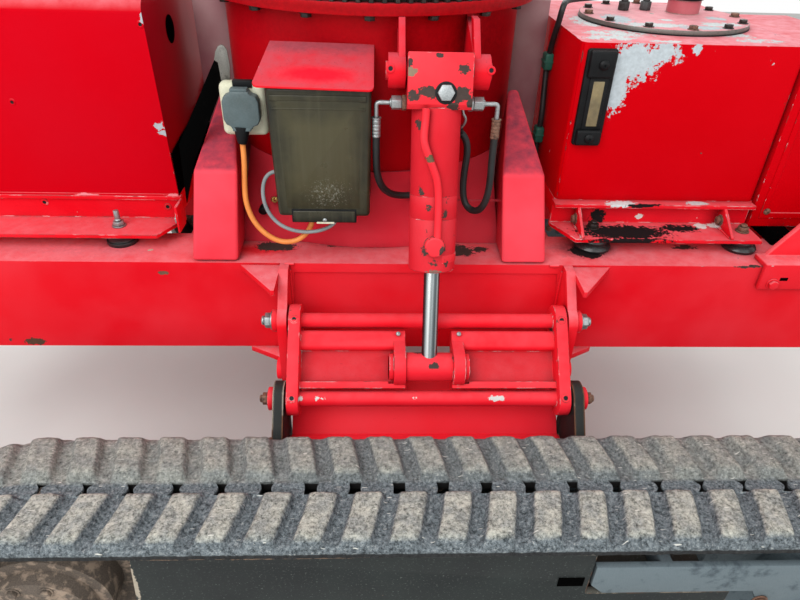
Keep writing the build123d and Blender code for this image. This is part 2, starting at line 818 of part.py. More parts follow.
# Pedestal: drum with flange, skirt, pillars and side plates on a base plate
drum = bar_z(drum_radius, drum_bottom, flange_bottom, 0, 0)
drum += bar_z(flange_radius, flange_bottom, flange_top, 0, 0)
pedestal = drum + block(-base_plate_x, base_plate_x, -base_plate_y, base_plate_y, beam_top, drum_bottom)
pillar_outline = [(pillar_inner_low, drum_bottom), (pillar_outer_low, drum_bottom), (pillar_outer_high, pillar_top),
                  (pillar_outer_high, pillar_back_top), (pillar_inner_high, pillar_back_top),
                  (pillar_inner_high, pillar_top)]
cut_top = pillar_back_top + cut_margin
top_cut = [(-pillar_front_y - cut_margin, pillar_top), (-pillar_back_y + cut_margin, pillar_back_top),
           (-pillar_back_y + cut_margin, cut_top), (-pillar_front_y - cut_margin, cut_top)]
pillar = plate_y(pillar_outline, -pillar_front_y, -pillar_back_y)
pillar -= plate_x(top_cut, pillar_inner_high - cut_margin, pillar_outer_low + cut_margin)
skirt = plate_x([(-base_plate_y + skirt_inset, drum_bottom), (-skirt_bend_y, skirt_bend),
                 (-drum_radius, skirt_top), (-drum_radius + skirt_thickness, skirt_top),
                 (-drum_radius + skirt_lap + skirt_thickness, drum_bottom)], -pillar_inner_low, pillar_inner_low)
side_sheet = block(side_plate_x, side_plate_x + side_plate_thickness, -side_plate_half_y, side_plate_half_y,
                   drum_bottom, side_plate_top)
side_sheet += block(drum_radius - drum_wall, side_plate_x, -side_plate_rib, side_plate_rib,
                    drum_bottom, side_plate_top)
pedestal += [pillar, mirror(pillar, Plane.YZ), far_side(pillar), far_side(mirror(pillar, Plane.YZ)),
             skirt, far_side(skirt), side_sheet, mirror(side_sheet, Plane.YZ)]

# Hinge ears for the two lift cylinders and port blocks behind their barrels
ear_reach = -math.sqrt(drum_radius ** 2 - (swing_x + hinge_outer) ** 2) + hinge_ear_setback
ear_face = ear_reach - hinge_ear_tip
ear_low_z = pivot_h[1] - hinge_ear_low


def hinge_ear(x0, x1):
    ear = hull_x([(*pivot_h, hinge_boss_radius), (ear_face, flange_bottom - hinge_ear_tip, hinge_ear_tip),
                  (ear_face, ear_low_z, hinge_ear_tip)], x0, x1)
    return ear + plate_x([(ear_reach, ear_low_z + hinge_ear_neck), (ear_reach - hinge_ear_wing, pivot_h[1]),
                          (ear_reach - hinge_ear_wing, flange_bottom), (ear_reach, flange_bottom)], x0, x1)


ears = []
for ear in both_ends(hinge_ear, hinge_inner, hinge_inner + hinge_ear_thickness):
    ears.append(ear)
for x in (swing_x + hinge_inner, swing_x - hinge_outer):
    ears.append(bar_x(hinge_boss_radius, x, x + hinge_boss_length, *pivot_h))
port_block = block(swing_x - port_block_half, swing_x + port_block_half, -port_block_front,
                   -drum_radius + port_block_root, port_block_bottom, port_block_top)
pedestal += ears + [far_side(ear) for ear in ears] + [port_block, far_side(port_block)]
pedestal -= bar_z(drum_radius - drum_wall, beam_top - cut_margin, flange_top + cut_margin, 0, 0)
hinge_bore = bar_x(pin_radius + pin_clearance, swing_x - hinge_outer - cut_margin,
                   swing_x + hinge_outer + cut_margin, *pivot_h)
pedestal -= [hinge_bore, far_side(hinge_bore)]
save("pedestal", pedestal)

# Slewing ring: toothed outer ring bolted to the flange, inner ring for the turret
outer_ring = Sketch() + Circle(ring_root_radius)
tooth_angle = 360 / ring_teeth
tooth_arc = 2 * math.pi * ring_tip_radius / ring_teeth
root_half = tooth_arc * ring_tooth_root / 2
tip_half = tooth_arc * ring_tooth_tip / 2
gear_tooth = Polygon((ring_root_radius - ring_tooth_lap, -root_half), (ring_tip_radius, -tip_half),
                     (ring_tip_radius, tip_half), (ring_root_radius - ring_tooth_lap, root_half), align=None)
outer_ring += [Rot(0, 0, index * tooth_angle) * gear_tooth for index in range(ring_teeth)]
outer_ring -= Circle(ring_bore_radius)
save("slewing_ring_outer", Pos(0, 0, flange_top) * extrude(outer_ring, ring_height))
inner_ring = Sketch() + Circle(ring_bore_radius - ring_clearance)
inner_ring -= Circle(inner_ring_bore)
inner_ring -= PolarLocations(turret_bolt_pcd / 2, turret_bolt_count) * Circle(turret_bolt_radius)
save("slewing_ring_inner", Pos(0, 0, flange_top + inner_ring_lift) * extrude(inner_ring, inner_ring_height))

# Hydraulic tank with a hole under its lid
tank = block(tank_left, tank_right, -tank_half_y, tank_half_y, support_top, tank_top)
tank = fillet(tank.edges().filter_by(Axis.Z), tank_rounding)
tank -= block(tank_left + tank_wall, tank_right - tank_wall, -tank_half_y + tank_wall, tank_half_y - tank_wall,
              support_top + tank_wall, tank_top - tank_wall)
tank -= bar_z(lid_hole_radius, tank_top - tank_wall * 2, tank_top + cut_margin, lid_x, lid_y)
save("tank", tank)
lid_top = tank_top + lid_height
lid = bar_z(lid_radius, tank_top, lid_top, lid_x, lid_y)
lid += bar_z(filler_radius, lid_top, lid_top + filler_height, lid_x + filler_dx, lid_y + filler_dy)
bolt_circle = lid_radius - lid_bolt_inset
for index in range(lid_bolts):
    angle = 2 * math.pi * index / lid_bolts
    lid += bar_z(lid_bolt_radius, lid_top, lid_top + lid_bolt_height,
                 lid_x + bolt_circle * math.cos(angle), lid_y + bolt_circle * math.sin(angle))
save("tank_lid", lid)
gauge = block(gauge_left, gauge_left + gauge_width, -tank_half_y - gauge_depth, -tank_half_y,
              gauge_bottom, gauge_bottom + gauge_height)
gauge = fillet(gauge.edges().filter_by(Axis.Y), gauge_rounding)
save("level_gauge", gauge)


# Support rails under the tank and the left cover: a web, a foot that reaches outward over
# the rubber mounts with one corner cut off, and a lip along the top
def support_rail(inner_x, outer_x, lip):
    toward = 1 if outer_x > inner_x else -1
    low_x, high_x = sorted((inner_x, outer_x))
    rail = block(low_x, high_x, -support_front, -support_front + support_thickness, support_bottom, support_top)
    foot_front = -support_front - support_flange
    rail += plate_z([(inner_x, -support_front), (inner_x, foot_front + 2 * support_chamfer),
                     (inner_x + toward * support_chamfer, foot_front), (outer_x, foot_front),
                     (outer_x, -support_front)], support_bottom, support_bottom + support_thickness)
    return rail + block(low_x, high_x, -support_front - lip, -support_front,
                        support_top - support_thickness, support_top)


rails = [support_rail(tank_left - support_end, tank_right - support_end, support_lip),
         support_rail(cover_right + support_end, cover_left, support_end)]
cross_rails = []
for x in (tank_left, tank_right - cross_rail_width, cover_left, cover_right - cross_rail_width):
    cross_rails.append(block(x, x + cross_rail_width, -support_front + support_thickness,
                             support_front - support_thickness, support_top - cross_rail_height, support_top))
for x in box_rail_x:
    cross_rails.append(block(x, x + cross_rail_width, -beam_inner_y - box_rail_bearing, beam_inner_y + box_rail_bearing,
                             beam_top, box_bottom))
save("support_rails", *rails, *[far_side(rail) for rail in rails])
save("cross_rails", *cross_rails)
mounts = []
for x in tank_mount_x + cover_mount_x:
    rubber = bar_z(mount_radius, beam_top, beam_top + mount_plate, x, -mount_y)
    rubber += bar_z(mount_waist, beam_top + mount_plate, support_bottom - mount_plate, x, -mount_y)
    rubber += bar_z(mount_radius, support_bottom - mount_plate, support_bottom, x, -mount_y)
    mounts += [rubber, far_side(rubber)]
save("rubber_mounts", *mounts)

# Left cover: folded sheet, open below, over the engine
cover_outline = [(cover_left, support_top), (cover_right, support_top), (cover_right - cover_lean, cover_top),
                 (cover_left + cover_slope, cover_top)]
cover = plate_y(cover_outline, -cover_half_y, cover_half_y)
cover = fillet(cover.edges().group_by(Axis.Z)[-1].filter_by(Axis.X), cover_rounding)
inner_outline = [(cover_left + cover_wall, support_top - cut_margin),
                 (cover_right - cover_wall, support_top - cut_margin),
                 (cover_right - cover_lean - cover_wall, cover_top - cover_wall),
                 (cover_left + cover_slope + cover_wall, cover_top - cover_wall)]
hollow = plate_y(inner_outline, -cover_half_y + cover_wall, cover_half_y - cover_wall)
hollow = fillet(hollow.edges().group_by(Axis.Z)[-1].filter_by(Axis.X), cover_rounding - cover_wall)
save("left_cover", cover - hollow)
engine = block(engine_left, engine_right, -engine_half_y, engine_half_y, engine_bottom, engine_top)
for x0, x1 in ((engine_left - engine_foot_length, engine_left), (engine_right, engine_right + engine_foot_length)):
    for y in (-engine_foot_y, engine_foot_y):
        engine += block(x0, x1, y - engine_foot_width / 2, y + engine_foot_width / 2,
                        support_top, support_top + engine_foot_thickness)
save("engine_block", engine)
side_box = block(box_left, box_right, -box_half_y, box_half_y, box_bottom, box_top)
side_box -= block(box_left + box_wall, box_right - box_wall, -box_half_y + box_wall, box_half_y - box_wall,
                  box_bottom - cut_margin, box_top - box_wall)
save("side_box", side_box)

# Black guard plate in the gap between the cover and the pedestal
guard = plate_y(guard_outline, -guard_y, -guard_y + guard_thickness)
save("guard_plate", guard)

# Control box: a hollow moulded cover with a small flap below, closed at the back
control = block(control_left, control_right, -control_front, -control_back, control_bottom, control_top)
control = fillet(control.edges().filter_by(Axis.Y), control_rounding)
control -= block(control_left + control_wall, control_right - control_wall, -control_front + control_wall,
                 -control_back - control_wall, control_bottom + control_wall, control_top - control_wall)
control += block(control_left + flap_inset_left, control_right - flap_inset_right, -control_front + flap_inset_front,
                 -control_back - flap_inset_back, control_bottom - flap_drop, control_bottom)
save("control_box", control)
hood_outline = [(-hood_front_y, hood_front_z - hood_lip), (-hood_front_y + hood_thickness, hood_front_z - hood_lip),
                (-hood_front_y + hood_thickness, hood_front_z - hood_thickness),
                (-hood_back_y, hood_back_z - hood_thickness), (-hood_back_y, hood_back_z),
                (-hood_front_y, hood_front_z)]
hood = plate_x(hood_outline, hood_left, hood_right)
hood -= bar_z(drum_radius + hood_gap, drum_bottom, flange_top, 0, 0)
save("control_hood", hood)

# Socket on its bracket and the plug in it
socket = block(socket_left, socket_right, -socket_front, -socket_front + socket_depth, socket_bottom, socket_top)
socket = fillet(socket.edges().filter_by(Axis.Y), socket_rounding)
socket_back = -socket_front + socket_depth
socket += block(socket_left, socket_right, socket_back, socket_back + socket_plate,
                socket_bottom - socket_plate_rim, socket_top + socket_plate_rim)
save("socket", socket)
plug = bar_y(plug_radius, -socket_front - plug_length, -socket_front, plug_x, plug_z)
plug += bar_z(nose_radius, plug_z - plug_radius - nose_length, plug_z, plug_x, -socket_front - plug_length / 2)
save("plug", plug)


# Cables and hoses: straight runs joined by tangent arcs
def cord_tube(name, diameter, points):
    vectors = [Vector(*point) for point in points]
    radii = []
    for before, here, after in zip(vectors, vectors[1:], vectors[2:]):
        turn = math.radians((here - before).get_angle(after - here))
        run = min((here - before).length, (after - here).length)
        radii.append(bend_share * run / math.tan(turn / 2))
    path = FilletPolyline(*points, radius=radii)
    start = Plane(origin=points[0], z_dir=vectors[1] - vectors[0])
    tube = sweep(start * Circle(diameter / 2), path=path)
    print(name, "radii", [round(radius) for radius in radii], "least/diameter", round(min(radii) / diameter, 1),
          "length", round(path.length), "volume ratio",
          round(tube.volume / (path.length * math.pi * diameter ** 2 / 4), 3))
    return tube


plug_exit = (plug_x, -socket_front - plug_length / 2, plug_z - plug_radius - nose_length)
flap_bottom = control_bottom - flap_drop
orange_route = [plug_exit, (plug_exit[0], plug_exit[1], 822), (-231, -352, 782), (-232, -358, 742), (-221, -362, 706),
                (-199, -365, 679), (-170, -367, 664), (-139, -366, 668), (-117, -363, 688),
                (-109, -360, 713), (-109, -360, flap_bottom)]
save("orange_cable", cord_tube("orange_cable", orange_diameter, orange_route))
grey_route = [(control_left, -360, 805), (-176, -360, 805), (-189, -364, 797), (-196, -368, 778), (-196, -372, 752),
              (-187, -375, 726), (-168, -377, 705), (-140, -377, 693), (-106, -375, 691),
              (-76, -371, 700), (-62, -368, 716), (-62, -368, flap_bottom)]
save("grey_cable", cord_tube("grey_cable", grey_diameter, grey_route))

# Hydraulic hoses from the head block to the port block, with elbows and ferrules
port_y, port_z = on_axis(port_drop)
left_x = head_left - elbow_reach
right_x = head_right + elbow_reach
fittings = []
for face, away, x in ((head_left, -1, left_x), (head_right, 1, right_x)):
    nut_end = face + away * nut_length
    nut = bar_x(nut_radius, min(face, nut_end), max(face, nut_end), port_y, port_z)
    nut += bar_x(elbow_radius, min(nut_end, x), max(nut_end, x), port_y, port_z)
    nut += Pos(x, port_y, port_z) * Sphere(elbow_radius)
    nut += bar_z(elbow_radius, port_z - elbow_drop, port_z, x, port_y)
    nut += bar_z(ferrule_radius, port_z - elbow_drop - ferrule_length, port_z - elbow_drop, x, port_y)
    fittings.append(nut)
save_both("hose_fittings", *fittings)
ferrule_end = port_z - elbow_drop - ferrule_length
block_left = swing_x - port_block_half
block_right = swing_x + port_block_half
left_route = [(left_x, port_y, ferrule_end), (left_x, port_y, 842), (left_x + 2, port_y + 3, 806),
              (left_x + 12, port_y + 14, 777), (left_x + 30, port_y + 32, 757), (left_x + 53, port_y + 50, 747),
              (block_left - 18, hose_port_y, 745), (block_left - hose_end_gap, hose_port_y, 745)]
save_both("hose_left", cord_tube("hose_left", hose_diameter, left_route))
right_route = [(right_x, port_y, ferrule_end), (right_x, port_y, 842), (right_x + 1, port_y - 2, 802),
               (right_x - 1, port_y, 764), (right_x - 10, port_y + 9, 737), (right_x - 25, port_y + 25, 729),
               (right_x - 37, port_y + 38, 741), (right_x - 41, port_y + 43, 769),
               (right_x - 40, port_y + 45, 804), (right_x - 37, port_y + 47, 836),
               (right_x - 41, port_y + 52, 860), (block_right + 24, hose_port_y, 874),
               (block_right + hose_end_gap, hose_port_y, 874)]
save_both("hose_right", cord_tube("hose_right", hose_diameter, right_route))
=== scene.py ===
import json
import math
import random

import bpy
from mathutils import Matrix, Vector

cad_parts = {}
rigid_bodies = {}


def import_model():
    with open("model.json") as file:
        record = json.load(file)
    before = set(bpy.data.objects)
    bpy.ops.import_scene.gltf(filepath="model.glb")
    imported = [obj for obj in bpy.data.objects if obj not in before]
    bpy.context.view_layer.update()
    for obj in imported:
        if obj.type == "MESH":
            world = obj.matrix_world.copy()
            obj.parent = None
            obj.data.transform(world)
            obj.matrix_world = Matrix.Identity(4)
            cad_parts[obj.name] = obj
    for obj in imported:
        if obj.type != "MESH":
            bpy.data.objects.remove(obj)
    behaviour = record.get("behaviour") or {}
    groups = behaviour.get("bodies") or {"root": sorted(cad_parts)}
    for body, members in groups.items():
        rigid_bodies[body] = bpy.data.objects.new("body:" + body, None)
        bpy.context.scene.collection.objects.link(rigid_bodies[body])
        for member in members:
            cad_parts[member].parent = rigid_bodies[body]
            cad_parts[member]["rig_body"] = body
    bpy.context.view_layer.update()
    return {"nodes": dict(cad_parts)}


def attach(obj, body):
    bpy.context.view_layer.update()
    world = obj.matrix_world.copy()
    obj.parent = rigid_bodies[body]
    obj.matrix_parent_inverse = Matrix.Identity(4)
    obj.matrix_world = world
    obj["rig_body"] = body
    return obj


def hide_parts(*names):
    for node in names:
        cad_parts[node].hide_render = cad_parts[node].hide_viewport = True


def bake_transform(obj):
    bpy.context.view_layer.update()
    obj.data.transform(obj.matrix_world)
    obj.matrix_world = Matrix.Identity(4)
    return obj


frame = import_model()
random.seed(4)

# Lengths below are in millimetres, as on the drawing, unless a line says otherwise.
mm = 0.001


def at(x, y, z):
    return Vector((x, y, z)) * mm


def toLinear(hexColour):
    parts = [int(hexColour[i:i + 2], 16) / 255 for i in (1, 3, 5)]
    return [c / 12.92 if c <= 0.04045 else ((c + 0.055) / 1.055) ** 2.4 for c in parts] + [1]


def fill(node, sockets):  # links the sockets given as values and sets the rest
    for key, value in (sockets.items() if isinstance(sockets, dict) else enumerate(sockets)):
        if isinstance(value, bpy.types.NodeSocket):
            node.id_data.links.new(value, node.inputs[key])
        elif value is not None:
            node.inputs[key].default_value = value


def addNode(tree, kind, sockets=(), **settings):
    node = tree.nodes.new(kind)
    for key, value in settings.items():
        setattr(node, key, value)
    fill(node, sockets)
    return node


# Camera at the photograph's angle
cameraLook = {
    "place": (10, -1419, 1240),
    "down": 33.88,  # degrees below the horizon
    "right": 2.68,
    "roll": 1.8,
    "lens": 27.9,
}
camera = bpy.data.objects.new("camera", bpy.data.cameras.new("camera"))
bpy.context.scene.collection.objects.link(camera)
down, right, roll = (math.radians(cameraLook[k]) for k in ("down", "right", "roll"))
ahead = Vector((math.sin(right) * math.cos(down), math.cos(right) * math.cos(down), -math.sin(down)))
level = Vector((math.cos(right), -math.sin(right), 0))
upright = level.cross(ahead)
across = level * math.cos(roll) + upright * math.sin(roll)
upward = upright * math.cos(roll) - level * math.sin(roll)
turned = Matrix((across, upward, -ahead)).transposed().to_4x4()
camera.matrix_world = Matrix.Translation(at(*cameraLook["place"])) @ turned
camera.data.lens = cameraLook["lens"]
camera.data.clip_start, camera.data.clip_end = 0.05, 60
bpy.context.scene.camera = camera
bpy.context.scene.view_settings.view_transform = "Standard"


# Bench work shared by the pieces
def deselect():
    bpy.ops.object.select_all(action="DESELECT")


def take(piece):
    deselect()
    piece.select_set(True)
    bpy.context.view_layer.objects.active = piece


def settle(piece):  # puts the piece's place into its mesh
    take(piece)
    bpy.ops.object.transform_apply(location=True, rotation=True, scale=True)
    return piece


def edit(piece, mode="FACE"):
    take(piece)
    bpy.ops.object.mode_set(mode="EDIT")
    bpy.ops.mesh.select_mode(type=mode)


def leave():
    bpy.ops.object.mode_set(mode="OBJECT")


def pickFaces(piece, test):  # test gets a face's centre in mm and its normal
    for part in (piece.data.vertices, piece.data.edges, piece.data.polygons):
        part.foreach_set("select", [False] * len(part))
    for face in piece.data.polygons:
        face.select = test(face.center / mm, face.normal)


def newBox(name, low, high):
    deselect()
    low, high = at(*low), at(*high)
    bpy.ops.mesh.primitive_cube_add(size=1, location=(low + high) / 2, scale=high - low)
    bpy.context.object.name = name
    return settle(bpy.context.object)


def newRod(name, radius, start, end, sides=32):
    deselect()
    start, end = at(*start), at(*end)
    bpy.ops.mesh.primitive_cylinder_add(vertices=sides, radius=radius * mm, depth=(end - start).length,
                                        location=(start + end) / 2,
                                        rotation=(end - start).to_track_quat("Z", "Y").to_euler())
    bpy.context.object.name = name
    return settle(bpy.context.object)


def newBlock(name, low, high, material, width, segments=2, angle=30):
    return coat(roundEdges(newBox(name, low, high), width, segments, angle), material)


def newBar(name, radius, start, end, sides, material, width, segments=2):
    return coat(roundEdges(newRod(name, radius, start, end, sides), width, segments), material)


def newPlate(name, outline, thick):  # a flat outline of points, pushed out along the vector thick
    deselect()
    bpy.ops.mesh.primitive_circle_add(vertices=len(outline), radius=1, fill_type="NGON")
    piece = bpy.context.object
    piece.name = name
    for vertex, point in zip(piece.data.vertices, outline):
        vertex.co = at(*point)
    edit(piece)
    bpy.ops.mesh.select_all(action="SELECT")
    bpy.ops.mesh.extrude_region_move(TRANSFORM_OT_translate={"value": at(*thick)})
    bpy.ops.mesh.select_all(action="SELECT")
    bpy.ops.mesh.normals_make_consistent(inside=False)
    leave()
    return piece


def newTurned(name, profile, steps=32):  # radius and height pairs, spun round Z as a closed outline
    deselect()
    bpy.ops.mesh.primitive_circle_add(vertices=len(profile), radius=1, fill_type="NOTHING")
    piece = bpy.context.object
    piece.name = name
    for vertex, (radius, height) in zip(piece.data.vertices, profile):
        vertex.co = at(radius, 0, height)
    edit(piece, "VERT")
    bpy.ops.mesh.select_all(action="SELECT")
    bpy.ops.mesh.spin(steps=steps, angle=2 * math.pi, center=(0, 0, 0), axis=(0, 0, 1))
    bpy.ops.mesh.select_all(action="SELECT")
    bpy.ops.mesh.remove_doubles(threshold=0.00001)
    bpy.ops.mesh.dissolve_degenerate()
    bpy.ops.mesh.select_all(action="SELECT")
    bpy.ops.mesh.normals_make_consistent(inside=False)
    leave()
    return piece


def modify(piece, kind, **settings):
    take(piece)
    modifier = piece.modifiers.new(kind.lower(), kind)
    for key, value in settings.items():
        setattr(modifier, key, value)
    bpy.ops.object.modifier_apply(modifier=modifier.name)
    return piece


def roundEdges(piece, width, segments=2, angle=30):
    return modify(piece, "BEVEL", width=width * mm, segments=segments, limit_method="ANGLE",
                  angle_limit=math.radians(angle), harden_normals=False)


def shade(piece, angle=35):
    take(piece)
    bpy.ops.object.shade_smooth_by_angle(angle=math.radians(angle))
    return piece


def coat(piece, material, test=None):  # the whole piece, or the faces that the test picks
    if test is None:
        piece.data.materials.clear()
        piece.data.materials.append(material)
        return piece
    piece.data.materials.append(material)
    number = len(piece.data.materials) - 1
    for face in piece.data.polygons:
        if test(face.center / mm, face.normal):
            face.material_index = number
    return piece


def mount(piece, body, slot, *stoodFor):
    shade(piece)
    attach(piece, body)
    if stoodFor:
        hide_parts(*stoodFor)
    return piece


def copyTo(pattern, name, matrix):
    piece = bpy.data.objects.new(name, pattern.data.copy())
    bpy.context.scene.collection.objects.link(piece)
    piece.data.transform(matrix)
    return piece


def join(name, pieces):
    deselect()
    for piece in pieces:
        piece.select_set(True)
    bpy.context.view_layer.objects.active = pieces[0]
    if len(pieces) > 1:
        bpy.ops.object.join()
    pieces[0].name = name
    return pieces[0]


def scrap(*patterns):
    for pattern in patterns:
        bpy.data.objects.remove(pattern)


def aim(place, direction, turn=0.0):  # matrix that stands a Z-up pattern at a place along a direction
    return (Matrix.Translation(at(*place)) @ Vector(direction).to_track_quat("Z", "Y").to_matrix().to_4x4()
            @ Matrix.Rotation(math.radians(turn), 4, "Z"))


def mountPair(name, parts, body, slot, node=None):  # joined on the near side and mirrored to the far side
    near = join(name + "Near", parts)
    far = copyTo(near, name + "Far", Matrix.Diagonal((1, -1, 1, 1)))
    far.data.flip_normals()
    for piece, side in ((near, "_near"), (far, "_far")):
        stoodFor = [node + side] if node else []
        mount(piece, body if body == "chassis" else body + side, slot, *stoodFor)


def soften(node, name, material, width=1.5, segments=2, angle=32):  # the drawing's solid with rounded edges
    piece = copyTo(frame["nodes"][node], name, Matrix())
    edit(piece, "VERT")
    bpy.ops.mesh.customdata_custom_splitnormals_clear()
    bpy.ops.mesh.select_all(action="SELECT")
    bpy.ops.mesh.remove_doubles(threshold=0.00001)
    bpy.ops.mesh.dissolve_limited(angle_limit=math.radians(0.5))
    leave()
    if width:
        roundEdges(piece, width, segments, angle)
    return coat(piece, material)


def refine(node, name, material, slot, width=1.5, segments=2, angle=32):
    piece = soften(node, name, material, width, segments, angle)
    return mount(piece, frame["nodes"][node]["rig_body"], slot, node)


# Finishes: short forms of the shader nodes used most
def startMaterial(name):
    material = bpy.data.materials.new(name)
    material.use_nodes = True
    tree = material.node_tree
    return material, tree, tree.nodes["Principled BSDF"]


def reckon(tree, operation, *values, **settings):
    return addNode(tree, "ShaderNodeMath", values, operation=operation, **settings).outputs[0]


def reckonVector(tree, operation, *values, output=0):
    return addNode(tree, "ShaderNodeVectorMath", values, operation=operation).outputs[output]


def span(tree, value, *limits):  # takes low and high to two new values
    return addNode(tree, "ShaderNodeMapRange", (value, *limits)).outputs[0]


def tinge(tree, share, first, second):  # mixes two colours, each a hex text or a socket
    ends = [toLinear(tone) if isinstance(tone, str) else tone for tone in (first, second)]
    return addNode(tree, "ShaderNodeMix", {0: share, 6: ends[0], 7: ends[1]}, data_type="RGBA").outputs[2]


def noise(tree, where, scale, detail, roughness=None):
    sockets = {"Vector": where, "Scale": scale, "Detail": detail, "Roughness": roughness}
    return addNode(tree, "ShaderNodeTexNoise", sockets).outputs["Fac"]


def bump(tree, strength, distance, height):
    sockets = {"Strength": strength, "Distance": distance, "Height": height}
    return addNode(tree, "ShaderNodeBump", sockets).outputs[0]


# painted shade from ambient occlusion
def corners(tree, distance):  # dark in corners, bright in the open
    return addNode(tree, "ShaderNodeAmbientOcclusion", {"Distance": distance}, samples=4).outputs["AO"]


# Sprayed alkyd enamel on welded steel: bright on walls, dusty and pale on top, dark in the corners
# from dirt and painted shade, and chipped to grey steel or pale primer along the edges.
def makePaint(name, look, chips=(), stainsAndShade=()):
    material, tree, shader = startMaterial(name)
    where = addNode(tree, "ShaderNodeTexCoord").outputs
    spot = where["Object"]
    up = addNode(tree, "ShaderNodeSeparateXYZ", [where["Normal"]]).outputs["Z"]
    blotch = noise(tree, spot, 38, 6, 0.6)
    tint = span(tree, noise(tree, spot, 7, 4), 0.35, 0.68, 0, 1)
    colour = tinge(tree, tint, look["colour"], look["faded"])
    # dust lies on what faces up, thicker in drifts of about 25 mm
    facing = span(tree, up, 0.2, 0.95, 0, 1)
    drift = span(tree, blotch, 0.3, 0.7, 0.45, 1)
    dust = reckon(tree, "MULTIPLY", reckon(tree, "MULTIPLY", facing, drift), look["dust"])
    colour = tinge(tree, dust, colour, look["dustColour"])
    # dark specks of road dirt, 1 to 4 mm, mostly in the dust
    speck = noise(tree, spot, 240, 7, 0.75)
    speck = span(tree, speck, look["speckFrom"], look["speckFrom"] + 0.08, 0, look["specks"])
    speck = reckon(tree, "MULTIPLY", speck, span(tree, facing, 0, 1, look["speckBase"], 1))
    colour = tinge(tree, speck, colour, look["dirtAndShade"])
    # dirt and painted shade in corners, within about 30 mm
    grimeAndShade = reckon(tree, "MULTIPLY", span(tree, corners(tree, 0.03), 0.2, 0.8, look["grimeAndShade"], 0), drift)
    colour = tinge(tree, grimeAndShade, colour, look["dirtAndShade"])
    # edge wear: the rounded normal leaves the flat one only near an edge
    soft = addNode(tree, "ShaderNodeBevel", {"Radius": look["edgeWidth"] * mm}, samples=4).outputs[0]
    flat = addNode(tree, "ShaderNodeNewGeometry").outputs["Normal"]
    bend = reckonVector(tree, "DOT_PRODUCT", soft, flat, output="Value")
    edge = reckon(tree, "MULTIPLY", span(tree, bend, 0.99, 0.88, 0, 1), look["edgeWear"])
    bare = span(tree, reckon(tree, "ADD", edge, blotch), look["chipFrom"], look["chipFrom"] + 0.02, 0, 1)
    primer = span(tree, noise(tree, spot, 21, 3), 0.5, 0.56, 0, 1)
    colour = tinge(tree, bare, colour, tinge(tree, primer, look["steel"], look["primer"]))
    # single places: centre and reach in mm; stains and painted shade fade out, chips end in flakes of about 8 mm
    wobble = reckonVector(tree, "SUBTRACT", blotch.node.outputs["Color"], (0.5, 0.5, 0.5))
    flake = noise(tree, spot, 125, 5, 0.72)
    flaking = reckon(tree, "SUBTRACT", flake, 0.5)
    mottle = span(tree, flake, 0.35, 0.65, 0.84, 1.06)
    for number, (centre, reach, tone, ragged) in enumerate((*stainsAndShade, *chips)):
        chipped = number >= len(stainsAndShade)
        away = reckonVector(tree, "ADD", spot, reckonVector(tree, "SCALE", wobble, None, None, ragged * mm))
        away = reckonVector(tree, "SUBTRACT", away, at(*centre))
        away = reckonVector(tree, "DIVIDE", away, at(*reach))
        away = reckonVector(tree, "LENGTH", away, output="Value")
        away = reckon(tree, "MULTIPLY_ADD", flaking, 2.4 if chipped else 0.6, away)
        mask = span(tree, away, *((1.05, 0.97, 0, 1) if chipped else (1.3, 0.5, 0, 0.85)))
        colour = tinge(tree, mask, colour, reckonVector(tree, "SCALE", toLinear(tone)[:3], None, None, mottle))
        if chipped:
            bare = reckon(tree, "MAXIMUM", bare, mask)
    rough = reckon(tree, "MULTIPLY_ADD", dust, 0.45, look["rough"])
    rough = reckon(tree, "MULTIPLY_ADD", bare, 0.25, rough, use_clamp=True)
    # orange peel of about 4 mm, and the step down to bare metal
    height = reckon(tree, "MULTIPLY_ADD", bare, -6, noise(tree, spot, 240, 1))
    fill(shader, {"Base Color": colour, "Roughness": rough, "Normal": bump(tree, 0.35, 0.00025, height),
                  "Specular IOR Level": look["shine"]})
    return material


# Steel parts: plated, oiled, rusted or blued, with stains, fine machining marks, and dirt and painted shade in
# the corners.
def makeSteel(name, look):
    material, tree, shader = startMaterial(name)
    spot = addNode(tree, "ShaderNodeTexCoord").outputs["Object"]
    stain = noise(tree, spot, look["stainScale"], 5, 0.65)
    mask = span(tree, stain, look["stainFrom"], look["stainFrom"] + 0.12, 0, 1)
    fine = noise(tree, spot, 600, 2)
    colour = tinge(tree, span(tree, fine, 0.3, 0.7, 0, 1), look["colour"], look["other"])
    colour = tinge(tree, mask, colour, look["stain"])
    # painted shade: dark brown in the corners from ambient occlusion within about 12 mm
    colour = tinge(tree, span(tree, corners(tree, 0.012), 0.25, 0.8, look["grimeAndShade"], 0), colour, "#1d1613")
    height = reckon(tree, "MULTIPLY_ADD", stain, 3, fine)
    rough = span(tree, stain, 0.3, 0.75, look["rough"], look["rough"] + 0.3)
    fill(shader, {"Base Color": colour, "Roughness": rough, "Specular IOR Level": look.get("shine", 0.5),
                  "Metallic": span(tree, mask, 0, 1, look["metal"], look["metal"] * 0.3),
                  "Normal": bump(tree, look["bump"], 0.0004, height)})
    return material


